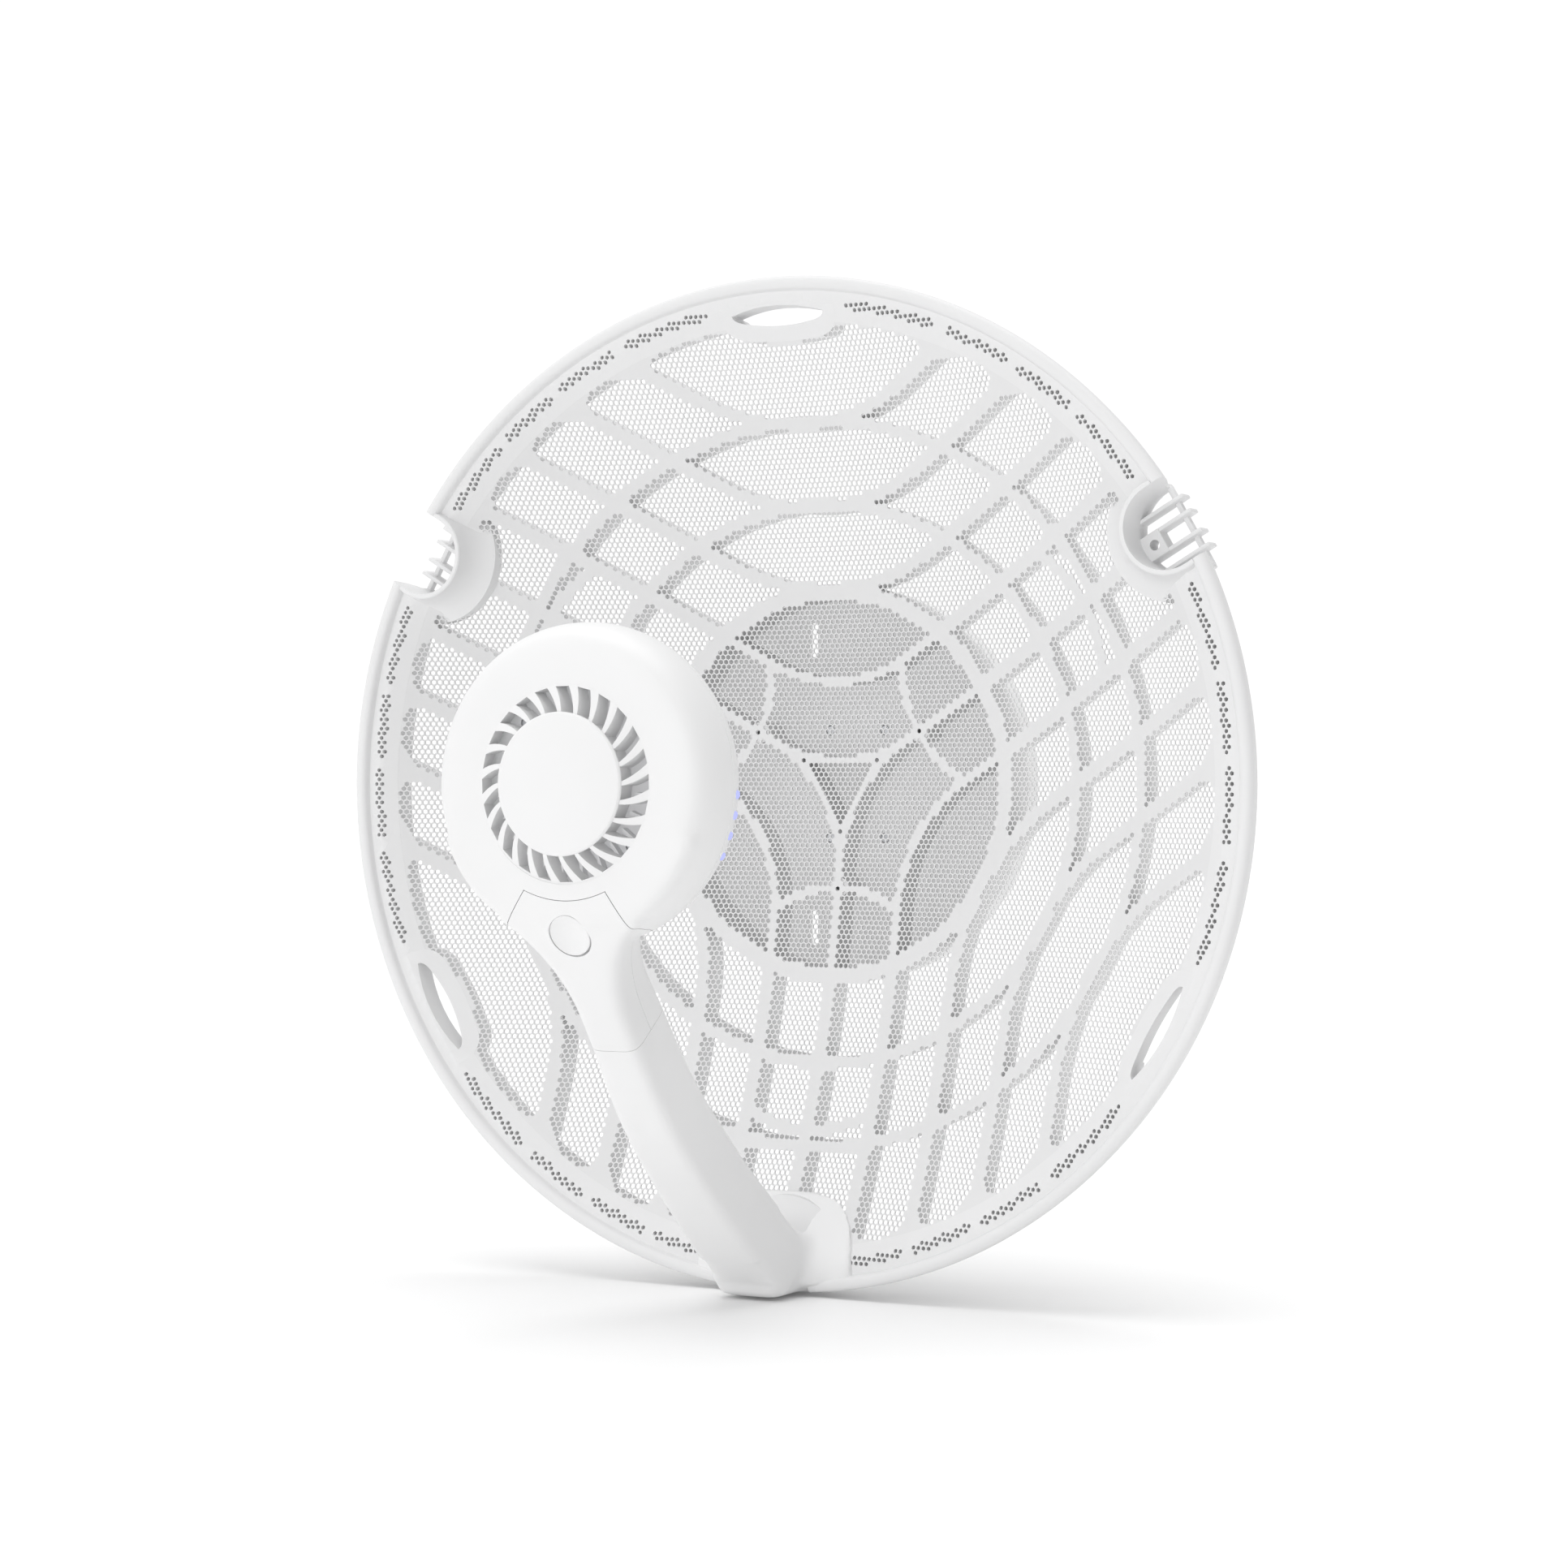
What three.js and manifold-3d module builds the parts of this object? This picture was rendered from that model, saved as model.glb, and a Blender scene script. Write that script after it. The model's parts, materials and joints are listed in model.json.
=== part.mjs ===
// A sector-mesh dish antenna with its radio head on a curved arm, for a wireless link on a pole.
// Millimetres, +Z up. The dish looks along -Y, and its axis is parallel to Y.
// The model is drawn in the dish's frame (y = 0 on the rim's flange, x = z = 0 on its axis) and then
// moved back, so that the exported origin lies on the pole seat.
import * as THREE from 'three';
import { mergeVertices } from 'three/addons/utils/BufferGeometryUtils.js';
import Module from 'manifold-3d';

const wasm = await Module();
wasm.setup();

// ---------- driving dimensions ----------
const GAP = 0.3; // air between touching pieces
const RIM_R = 206.5; // outside of the rolled rim
const LIP_R = 201; // inner edge of the rim's front lip
const DISH_R = 196; // radius where the paraboloid meets the flange
const DISH_DEPTH = 58.7; // from the flange to the middle of the mesh
const MESH_R = 187; // edge of the visible mesh
const MESH_T = 1.2;
const RIB_W = 4;
const RIB_H = 14;
const RIB_PITCH = 29; // distance between neighbouring parallel ribs
const RING_A = 150.3;
const RING_B = 116.5;
const HUB_RING_IN = 78;
const HUB_RING_OUT = 84;
const SCREW_PCR = 43.8; // radius of the three hub screws
const SLOT_HALF = 21; // half length of a finger slot
const SLOT_IN = 187.4;
const SLOT_OUT = 195.2;
const NOTCH_R = 17; // half width of the arm socket
const NOTCH_C = 197.5; // radius of the socket's round centre
const SOCKET_DEPTH = 22;
const HEAD_FRONT = -161.2;
const CAP_FRONT = -165.9; // the vent's cap stands proud of the head's face
const CAP_T = 1.7;
const HEAD_R = 59.8;
const HEAD_SPLIT = -141;
const HEAD_BACK = -107;
const THROAT_SPLIT_Z = -53.6;
const VENT_R = 36.7;
const CAP_R = 26.4;
const BLADES = 24;
const SHELL_T = 2.2;
const THROAT_FILLET = 45;
const NECK_HALF = 10.6; // half width of the arm at the cover's lower seam
const ARM_DEPTH = 30;
const SADDLE_HALF = 36;
const SADDLE_TOP = -167;
const SADDLE_LOW = -203;
const CABLE_Z = -194.8; // where the cable leaves the foot
const FOOT_SCREW_R = 185.4;
const COVER_DEPTH = 13; // how far the port cover wraps back from the arm's front
const PANEL_R = 42.7; // top seam of the port cover
const PANEL_HALF = 17.4;
const SEAM_Z = -100; // lower seam of the port cover
const BUTTON_Z = -56;
const BUTTON_R = 8.4;
const COVER_Y = 74.4; // front of the hub's rear cover plate
const COVER_BACK = 78.6;
const PIVOT_Y = 91.5; // the tilt bolt
const LUG_R = 8; // rounded ends of the yoke's ears
const EAR_X = 22; // how far the ears stand from the middle
const EAR_T = 4;
const KNUCKLE_HALF = 19.4; // the bracket's knuckle fills the space between the ears
const BOLT_R = 4;
const BOLT_HOLE = 4.3;
const BUSH_R = 6;
const SEAT_FRONT = 100;
const SEAT_HALF = 25;
const SEAT_TALL = 32;
const SEAT_Y = 103.5; // flat bottom of the pole seat; the exported origin
const SEAT_BACK = 112.1;
const THIRD = (2 * Math.PI) / 3;

// ---------- materials ----------
const plastic = (color, roughness = 0.55) =>
  new THREE.MeshStandardMaterial({ color, roughness, metalness: 0 });
const metal = (color, roughness = 0.35) =>
  new THREE.MeshStandardMaterial({ color, roughness, metalness: 1 });
const WHITE = 0xececea;
const GREY = 0xb9babb;
const steel = metal(0xb9bcc0);

// ---------- solids: booleans on closed three.js geometry ----------
function solid(geometry) {
  const g = geometry.clone();
  g.deleteAttribute('normal');
  g.deleteAttribute('uv');
  const merged = mergeVertices(g, 1e-4);
  return new wasm.Manifold(
    new wasm.Mesh({
      numProp: 3,
      vertProperties: new Float32Array(merged.attributes.position.array),
      triVerts: new Uint32Array(merged.index.array),
    }),
  );
}

function geometryOf(body) {
  const mesh = body.getMesh();
  const g = new THREE.BufferGeometry();
  const places = new Float32Array(mesh.vertProperties);
  g.setAttribute('position', new THREE.BufferAttribute(places, 3));
  g.setIndex(new THREE.BufferAttribute(new Uint32Array(mesh.triVerts), 1));
  g.computeVertexNormals();
  return g;
}

const join = (...parts) => parts.reduce((a, b) => a.add(b));
const cut = (body, ...tools) => tools.reduce((a, b) => a.subtract(b), body);
const both = (...parts) => parts.reduce((a, b) => a.intersect(b));

// A block between two corners.
function block(x0, y0, z0, x1, y1, z1) {
  const g = new THREE.BoxGeometry(x1 - x0, y1 - y0, z1 - z0);
  return solid(g.translate((x0 + x1) / 2, (y0 + y1) / 2, (z0 + z1) / 2));
}

// A round bar along the dish's axis.
function bar(radius, y0, y1, segments = 32, x = 0, z = 0) {
  const g = new THREE.CylinderGeometry(radius, radius, y1 - y0, segments);
  return solid(g.translate(x, (y0 + y1) / 2, z));
}

// A round bar along X.
function crossBar(radius, x0, x1, y, z, segments = 24) {
  const g = new THREE.CylinderGeometry(radius, radius, x1 - x0, segments).rotateZ(Math.PI / 2);
  return solid(g.translate((x0 + x1) / 2, y, z));
}

// An outline in the XZ plane made thick along Y.
function plate(shape, y0, y1, curveSegments = 10) {
  const g = new THREE.ExtrudeGeometry(shape, { depth: y1 - y0, bevelEnabled: false, curveSegments });
  return solid(g.rotateX(Math.PI / 2).translate(0, y1, 0));
}

// An outline in the YZ plane (its own x is Y, its own y is Z) made thick along X.
function sideProfile(shape, x0, x1, curveSegments = 10) {
  const g = new THREE.ExtrudeGeometry(shape, { depth: x1 - x0, bevelEnabled: false, curveSegments });
  const turn = new THREE.Matrix4().makeBasis(
    new THREE.Vector3(0, 1, 0),
    new THREE.Vector3(0, 0, 1),
    new THREE.Vector3(1, 0, 0),
  );
  return solid(g.applyMatrix4(turn).translate(x0, 0, 0));
}

// A profile of [radius, y] pairs spun about the dish's axis.
function spun(points, segments = 72) {
  const outline = points.map(([r, y]) => new THREE.Vector2(r, y));
  if (points[0][0] > 0) outline.push(outline[0].clone());
  const body = solid(new THREE.LatheGeometry(outline, segments));
  return body.volume() > 0 ? body : solid(new THREE.LatheGeometry(outline.reverse(), segments));
}

// Turns a body about the dish's axis; a positive angle carries +X towards +Z.
const turned = (body, angle) => body.rotate([0, THREE.MathUtils.radToDeg(-angle), 0]);

function threeTimes(make) {
  return join(...[0, 1, 2].map((i) => turned(make(i), i * THIRD)));
}

// ---------- the dish ----------
const BOWL_STEPS = 3;
const BOWL_FACETS = 24;
const RIM_FACETS = 36;
const dishY = (r) => DISH_DEPTH * (1 - (r / DISH_R) ** 2);

// A bowl-shaped layer between two distances behind the mesh's front face, out to the flange. Every
// layer has the same facets, so two layers keep their distance all over.
function bowlLayer(near, far) {
  const radii = Array.from({ length: BOWL_STEPS + 1 }, (_, i) => (DISH_R * i) / BOWL_STEPS);
  const front = radii.map((r) => [r, dishY(r) + near]);
  const back = radii.map((r) => [r, dishY(r) + far]).reverse();
  return spun([...front, ...back], BOWL_FACETS);
}

// A rib that runs down one 30 degree line, round a bend on +Z's line and up the other side.
function uShape(offset, bend, halfWidth, reach = 230) {
  const c = Math.cos(Math.PI / 6);
  const centreZ = (offset + bend) / c;
  const from = (radius, side, along) => [
    side * (radius * 0.5 + along * c),
    centreZ - radius * c + along * 0.5,
  ];
  const shape = new THREE.Shape();
  shape.moveTo(...from(bend + halfWidth, -1, reach));
  shape.lineTo(...from(bend + halfWidth, -1, 0));
  shape.absarc(0, centreZ, bend + halfWidth, (4 * Math.PI) / 3, (5 * Math.PI) / 3, false);
  shape.lineTo(...from(bend + halfWidth, 1, reach));
  shape.lineTo(...from(bend - halfWidth, 1, reach));
  shape.lineTo(...from(bend - halfWidth, 1, 0));
  shape.absarc(0, centreZ, bend - halfWidth, (5 * Math.PI) / 3, (4 * Math.PI) / 3, true);
  shape.lineTo(...from(bend - halfWidth, -1, reach));
  shape.closePath();
  return shape;
}

function discShape(radius, hole = 0) {
  const shape = new THREE.Shape().absarc(0, 0, radius, 0, 2 * Math.PI, false);
  if (hole > 0) shape.holes.push(new THREE.Path().absarc(0, 0, hole, 0, 2 * Math.PI, true));
  return shape;
}

// The D-shaped finger slot at the top of the dish, grown outwards by some margin.
function slotShape(margin) {
  const half = SLOT_HALF + margin;
  const shape = new THREE.Shape();
  shape.moveTo(-half, 192 + margin * 0.4);
  shape.quadraticCurveTo(-half, 189.2 - margin, -half * 0.62, SLOT_IN + 1 - margin);
  shape.quadraticCurveTo(0, SLOT_IN - 1 - margin, half * 0.62, SLOT_IN + 1 - margin);
  shape.quadraticCurveTo(half, 189.2 - margin, half, 192 + margin * 0.4);
  shape.quadraticCurveTo(0, 2 * (SLOT_OUT + margin) - 192 - margin * 0.4, -half, 192 + margin * 0.4);
  return shape;
}

// The round-ended arm socket at the top of the dish, grown outwards by some margin.
function notchShape(margin) {
  const r = NOTCH_R + margin;
  const shape = new THREE.Shape();
  shape.moveTo(-r, 230);
  shape.lineTo(-r, NOTCH_C);
  shape.absarc(0, NOTCH_C, r, Math.PI, 2 * Math.PI, false);
  shape.lineTo(r, 230);
  shape.closePath();
  return shape;
}

const SOCKET_ANGLES = [-Math.PI / 3, Math.PI / 3, Math.PI]; // from +Z: 30, 150 and 270 degrees from +X
const slots = (margin, y0, y1) => threeTimes(() => plate(slotShape(margin), y0, y1, 4));
const sockets = (margin, y0, y1) =>
  join(...SOCKET_ANGLES.map((a) => turned(plate(notchShape(margin), y0, y1, 5), a)));

function makeMesh() {
  const sheet = both(bowlLayer(0, MESH_T), bar(MESH_R - GAP, -10, 80, RIM_FACETS));
  const holes = [0, 1, 2].map((i) => turned(bar(2.2, 30, 80, 12, 0, -SCREW_PCR), i * THIRD));
  return cut(sheet, slots(6 + GAP, -10, 80), sockets(1.8 + GAP, -10, 80), ...holes);
}

function makeFrame() {
  const rib = RIB_W / 2;
  const layer = bowlLayer(MESH_T + GAP, MESH_T + RIB_H);
  const arcs = [4, 3, 2, 1, 0].map((k) => [k * RIB_PITCH, k > 1 ? 96 : 64]);
  const uRibs = threeTimes(() =>
    join(...arcs.map(([offset, bend]) => plate(uShape(offset, bend, rib), -20, 100, 3))),
  );
  const rings = [RING_A, RING_B].map((r) => plate(discShape(r + rib, r - rib), -20, 100, 15));
  const hubRing = plate(discShape(HUB_RING_OUT, HUB_RING_IN), -20, 100, 15);
  const crossArcs = threeTimes(() => {
    const ring = plate(discShape(52, 48), -20, 100, 9).translate([0, 0, -SCREW_PCR - 50]);
    return both(ring, block(-30, -20, -SCREW_PCR - 12, 30, 100, 0));
  });
  const screwBosses = [0, 1, 2].map((i) => turned(bar(5, 30, 100, 20, 0, -SCREW_PCR), i * THIRD));
  const reach = bar(MESH_R + 1.5, -20, 100, RIM_FACETS);
  const ribs = both(layer, reach, join(uRibs, ...rings, hubRing, crossArcs, ...screwBosses));

  const flangeLine = [MESH_R, 190, 193, DISH_R].map((r) => [r, dishY(r)]);
  const rim = spun([
    ...flangeLine,
    [LIP_R - 0.4, 0],
    [LIP_R, -2.2],
    [202.6, -3.4],
    [204.8, -3.4],
    [RIM_R, -1.8],
    [RIM_R, 0],
    [205.2, 6],
    [202.4, 12],
    [199.8, 12],
    [199.8, 4],
    [DISH_R, 4],
    [MESH_R, dishY(MESH_R) + MESH_T + RIB_H - 6],
  ], RIM_FACETS);
  const flangeLayer = bowlLayer(0, MESH_T + RIB_H - 6);
  const slotRims = both(flangeLayer, slots(6, -10, 60));
  const socketWalls = both(
    cut(sockets(1.8, 0, SOCKET_DEPTH), sockets(0, -10, 60)),
    bar(200, -10, 60, RIM_FACETS),
  );
  const fins = join(
    ...[-11, -4.4, 4.4, 11].map((x) => block(x - 0.8, 14, NOTCH_C - 16, x + 0.8, SOCKET_DEPTH, 204)),
  );
  const boss = block(-5, 13.5, 176, 5, SOCKET_DEPTH, 189.4);
  const tip = join(boss, block(-NOTCH_R - 1, 17, 200, NOTCH_R + 1, 20, 202));
  const floor = join(...SOCKET_ANGLES.map((a) => turned(join(fins, tip), a)));
  const body = join(cut(join(ribs, rim, slotRims), sockets(0, -10, 60)), socketWalls, floor);
  const screwHoles = [0, 1, 2].map((i) => turned(bar(2.2, 30, 100, 12, 0, -SCREW_PCR), i * THIRD));
  const insertHoles = SOCKET_ANGLES.map((a) => turned(bar(2.3, 13, 30, 12, 0, FOOT_SCREW_R), a));
  return cut(body, slots(0, -20, 60), ...screwHoles, ...insertHoles);
}

// ---------- the arm's line, in the YZ plane ----------
const armLine = new THREE.CatmullRomCurve3(
  [
    [-161.5, -30],
    [-161.2, -44],
    [-157, -57],
    [-143.5, -77.5],
    [-127.5, -100],
    [-101.5, -134],
    [-61.5, -171.5],
    [-22, -203],
  ].map(([y, z]) => new THREE.Vector3(0, y, z)),
  false,
  'centripetal',
);

// The share of the line's length at which it passes a height.
function shareAt(z) {
  let low = 0;
  let high = 1;
  for (let i = 0; i < 40; i += 1) {
    const middle = (low + high) / 2;
    if (armLine.getPointAt(middle).z > z) low = middle;
    else high = middle;
  }
  return (low + high) / 2;
}

// A point behind the line by some distance, square to it. Past its ends the line runs on straight.
function behind(share, distance) {
  const near = THREE.MathUtils.clamp(share, 0, 1);
  const t = armLine.getTangentAt(near);
  const p = armLine.getPointAt(near).addScaledVector(t, (share - near) * armLine.getLength());
  return new THREE.Vector2(p.y - t.z * distance, p.z + t.y * distance);
}

// The outline, in the YZ plane, between two depths behind the arm's front and two shares of its line.
function armBand(near, far, from, to, steps = 12) {
  const shares = Array.from({ length: steps + 1 }, (_, i) => from + ((to - from) * i) / steps);
  const points = [
    ...shares.map((s) => behind(s, near)),
    ...shares.map((s) => behind(s, far)).reverse(),
  ];
  return new THREE.Shape(points);
}

const SEAM = shareAt(SEAM_Z);
const NECK_TOP = shareAt(-36);

// ---------- the radio head and its throat ----------
// Front view of the throat: it leaves the round head tangentially and narrows to the arm.
function throatShape(inset) {
  const half = NECK_HALF - inset;
  const fillet = THROAT_FILLET + inset;
  const head = HEAD_R - inset;
  const centreZ = -Math.sqrt((head + fillet) ** 2 - (half + fillet) ** 2);
  const angle = Math.atan2(-centreZ, -(half + fillet));
  const shape = new THREE.Shape();
  shape.moveTo(half, -150);
  shape.lineTo(half, centreZ);
  shape.absarc(half + fillet, centreZ, fillet, Math.PI, angle, true);
  shape.lineTo(0, 0);
  shape.absarc(-half - fillet, centreZ, fillet, Math.PI - angle, 0, true);
  shape.lineTo(-half, -150);
  shape.closePath();
  return shape;
}

function headBody(inset) {
  const r = HEAD_R - inset;
  const front = HEAD_FRONT + inset;
  const dome = Array.from({ length: 5 }, (_, i) => {
    const a = (i / 5) * (Math.PI / 2);
    return [r * Math.cos(a) ** 0.9, HEAD_SPLIT + (HEAD_BACK - inset - HEAD_SPLIT) * Math.sin(a)];
  });
  return spun(
    [[0, front], [48 - inset, front], [54 - inset, front + 1.6], [58 - inset, front + 6.5],
      [r, front + 13.5], ...dome, [0, HEAD_BACK - inset]],
    48,
  );
}

// The head with its throat and neck down to the cover's lower seam.
function racket(inset) {
  const reach = shareAt(SEAM_Z - 4);
  const back = (s) => behind(s, ARM_DEPTH - inset);
  const shares = Array.from({ length: 9 }, (_, i) => NECK_TOP + ((reach - NECK_TOP) * i) / 8);
  const profile = new THREE.Shape([
    new THREE.Vector2(HEAD_FRONT + inset, -20),
    ...shares.map((s) => behind(s, inset)),
    ...shares.slice(3).map(back).reverse(),
    new THREE.Vector2(-122 - inset, -20),
  ]);
  const throat = both(plate(throatShape(inset), -170, -80, 10), sideProfile(profile, -60, 60));
  return join(headBody(inset), throat);
}

// Everything beyond the seam's plane, which stands square to the arm.
const belowSeam = (shift) => sideProfile(armBand(-30, 70, SEAM + shift, SEAM + shift + 0.3), -60, 60);

// The front part of the neck that the port cover takes up, grown by some margin.
function coverRegion(margin) {
  const r = PANEL_R - margin;
  const half = PANEL_HALF + margin;
  const topZ = -Math.sqrt(r * r - half * half);
  const side = Math.atan2(topZ, half);
  const shape = new THREE.Shape();
  shape.moveTo(-half, topZ);
  shape.absarc(0, 0, r, Math.PI - side - 2 * Math.PI, side, false);
  shape.lineTo(half + 34, topZ - 50);
  shape.lineTo(half + 34, -140);
  shape.lineTo(-half - 34, -140);
  shape.lineTo(-half - 34, topZ - 50);
  shape.closePath();
  const depth = sideProfile(armBand(-20, COVER_DEPTH + margin, NECK_TOP - 0.03, SEAM + 0.1), -60, 60);
  return both(plate(shape, -190, -60, 10), depth);
}

// The front of the head; below its lower edge the port cover takes over.
const frontRegion = (margin) =>
  block(-80, -200, THROAT_SPLIT_Z - margin, 80, HEAD_SPLIT + margin, 90);

function makeFrontShell(shell) {
  const half = both(shell, frontRegion(-GAP / 2));
  return cut(half, coverRegion(GAP), bar(VENT_R + GAP, -170, -150, 48));
}

function ledPlace(i) {
  const z = -3.9 - 7.5 * i;
  return { angle: Math.asin(z / 58.6), y: -136.5 };
}

function alongRadius(radius, r0, r1, angle, y, segments = 12) {
  const g = new THREE.CylinderGeometry(radius, radius, r1 - r0, segments).rotateZ(Math.PI / 2);
  return turned(solid(g.translate((r0 + r1) / 2, y, 0)), angle);
}

function makeRearShell(shell) {
  const leds = [0, 1, 2, 3].map((i) => {
    const { angle, y } = ledPlace(i);
    return alongRadius(1.9, 50, 70, angle, y);
  });
  return cut(shell, frontRegion(GAP / 2), coverRegion(GAP), belowSeam(0), ...leds);
}

// ---------- the port cover with its release button ----------
const buttonShare = shareAt(BUTTON_Z);

// Puts a piece made on the origin, with +Z outwards, on the arm's front at a share of its line.
function onArmFront(geometry, share, proud = 0) {
  const t = armLine.getTangentAt(share);
  const out = new THREE.Vector3(0, t.z, -t.y);
  const p = armLine.getPointAt(share).addScaledVector(out, proud);
  const place = new THREE.Matrix4().makeBasis(
    new THREE.Vector3(1, 0, 0),
    t.clone().negate(),
    out,
  );
  return geometry.applyMatrix4(place.setPosition(p));
}

const roundBar = (radius, depth, segments = 32) =>
  new THREE.CylinderGeometry(radius, radius, depth, segments).rotateX(Math.PI / 2);

function makePortCover(shell) {
  const wrap = both(shell, coverRegion(0));
  const hole = solid(onArmFront(roundBar(BUTTON_R + GAP, 24), buttonShare));
  const cup = solid(onArmFront(roundBar(BUTTON_R + 1.8, 8, 24).translate(0, 0, -5.6), buttonShare));
  const well = solid(onArmFront(roundBar(BUTTON_R + GAP, 8, 24).translate(0, 0, -4.4), buttonShare));
  const bore = solid(onArmFront(roundBar(3.5, 30, 24), buttonShare));
  return join(cut(wrap, belowSeam(-0.002), hole), cut(cup, well, bore));
}

function makeButton() {
  const cap = solid(onArmFront(roundBar(BUTTON_R, 2.2).translate(0, 0, -1.1), buttonShare, 0.2));
  const dish = new THREE.SphereGeometry(26, 24, 12).translate(0, 0, 25.2);
  const stem = solid(onArmFront(roundBar(3, 9, 20).translate(0, 0, -6), buttonShare));
  return join(cut(cap, solid(onArmFront(dish, buttonShare, 0.2))), stem);
}

function makeSpring() {
  const turns = 4;
  const points = Array.from({ length: turns * 10 + 1 }, (_, i) => {
    const a = (i / 10) * 2 * Math.PI;
    return new THREE.Vector3(4.4 * Math.cos(a), 4.4 * Math.sin(a), -4.6 - (i / (turns * 10)) * 3.2);
  });
  const wire = new THREE.Shape().absarc(0, 0, 0.35, 0, 2 * Math.PI, false);
  const g = new THREE.ExtrudeGeometry(wire, {
    steps: turns * 10,
    extrudePath: new THREE.CatmullRomCurve3(points),
    curveSegments: 3,
    bevelEnabled: false,
  });
  return solid(onArmFront(g, buttonShare));
}

// ---------- vent, cap and what is inside the head ----------
function bladeShape() {
  const shape = new THREE.Shape();
  const at = (r, a) => [r * Math.cos(a), r * Math.sin(a)];
  shape.moveTo(...at(CAP_R - 0.5, 0));
  shape.quadraticCurveTo(...at(31.5, 0.05), ...at(VENT_R - 0.6, 0.24));
  shape.lineTo(...at(VENT_R - 0.6, 0.31));
  shape.quadraticCurveTo(...at(31, 0.13), ...at(CAP_R - 0.5, 0.06));
  shape.closePath();
  return shape;
}

function makeVent() {
  const y0 = HEAD_FRONT + 0.4;
  const y1 = HEAD_FRONT + 4.6;
  const outer = plate(discShape(VENT_R, VENT_R - 1.4), y0, y1, 18);
  const inner = plate(discShape(CAP_R - 0.3, CAP_R - 2.4), y0 + 1.2, y1, 16);
  const blade = plate(bladeShape(), y0 + 1.2, y1, 2);
  const blades = Array.from({ length: BLADES }, (_, i) => turned(blade, (i / BLADES) * 2 * Math.PI));
  return join(outer, inner, ...blades);
}

// The cap: a thin disc with a soft edge, on a boss that plugs into the vent's inner ring.
function makeCap() {
  const y = CAP_FRONT;
  const back = y + CAP_T;
  const face = spun([[0, y], [CAP_R - 1, y], [CAP_R, y + 0.7], [CAP_R, back], [0, back]], 40);
  return join(face, bar(CAP_R - 3, back - 0.5, HEAD_FRONT + 3.9, 32));
}

function makeHeatSink() {
  const y = HEAD_FRONT + 5;
  const holes = BOARD_SCREWS.map((a) => turned(bar(1.7, y, y + 8, 12, SCREW_R, 0), a));
  const base = cut(bar(38, y + 3.4, y + 6.4, 40), ...holes);
  const fin = block(27, y, -0.6, 37, y + 4, 0.6);
  const fins = Array.from({ length: BLADES }, (_, i) => turned(fin, ((i + 0.5) / BLADES) * 2 * Math.PI));
  return join(base, ...fins);
}

const BOARD_Y = HEAD_FRONT + 13.2;
const BOARD_T = 1.6;
const SCREW_R = 32;
const BOARD_SCREWS = [45, 135, 225, 315].map((d) => THREE.MathUtils.degToRad(d));

function makeBoard() {
  const disc = cut(bar(50, BOARD_Y, BOARD_Y + BOARD_T, 40), block(-60, -160, -60, 60, -100, -38));
  const holes = BOARD_SCREWS.map((a) => turned(bar(1.7, BOARD_Y - 1, BOARD_Y + 3, 12, SCREW_R, 0), a));
  return cut(disc, ...holes);
}

function makeFeedHorn() {
  const y = BOARD_Y + BOARD_T + 8.6;
  return spun([[3.2, y], [7, y], [7, y + 6], [13, y + 17], [11.6, y + 17], [5, y + 5], [3.2, y + 3]], 32);
}

function makeGasket() {
  const band = cut(bar(56.8, -141.7, -139.6, 48), bar(53.6, -150, -130, 48));
  return cut(band, coverRegion(0.8));
}

function makeRadioCan() {
  const y = BOARD_Y + BOARD_T + GAP;
  const can = block(-17, y, -17, 17, y + 8, 17);
  return cut(can, bar(3.2, y + 4, y + 10, 16));
}

// A block inside the arm, between two depths behind its front and two heights of its line.
const armBlock = (half, near, far, topZ, lowZ) =>
  sideProfile(armBand(near, far, shareAt(topZ), shareAt(lowZ), 6), -half, half);

function makeJack() {
  const socket = armBlock(5.9, 14.5, 22.5, -73, -95);
  const tongue = armBlock(3.2, 22, 24, -76, -95);
  return cut(armBlock(8, 12.3, 25.7, -66, -86), socket, tongue);
}

const makeGrommet = () => cut(bar(5, 9.4, 13, 24, 0, CABLE_Z), bar(3.3, 0, 20, 20, 0, CABLE_Z));

// ---------- the arm and its foot ----------
function armSection(halfWidth, near, far) {
  const r = Math.min(5.5, halfWidth - 1);
  const shape = new THREE.Shape();
  shape.moveTo(-halfWidth + r, near);
  shape.lineTo(halfWidth - r, near);
  shape.quadraticCurveTo(halfWidth, near, halfWidth, near + r);
  shape.lineTo(halfWidth, far - r);
  shape.quadraticCurveTo(halfWidth, far, halfWidth - r, far);
  shape.lineTo(-halfWidth + r, far);
  shape.quadraticCurveTo(-halfWidth, far, -halfWidth, far - r);
  shape.lineTo(-halfWidth, near + r);
  shape.quadraticCurveTo(-halfWidth, near, -halfWidth + r, near);
  return shape;
}

// A section carried along the arm's line; it widens towards the foot.
function armTube(inset, from, to) {
  const section = armSection(NECK_HALF - inset, inset, ARM_DEPTH - inset);
  const carried = { depth: 1, steps: 12, bevelEnabled: false, curveSegments: 3 };
  const g = new THREE.ExtrudeGeometry(section, carried);
  const place = g.attributes.position;
  for (let i = 0; i < place.count; i += 1) {
    const share = from + (to - from) * place.getZ(i);
    const spread = 1 + 0.42 * Math.max(0, (share - SEAM) / (1 - SEAM));
    const q = behind(Math.min(share, 1), place.getY(i));
    place.setXYZ(i, -place.getX(i) * spread, q.x, q.y);
  }
  return solid(g);
}


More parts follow.
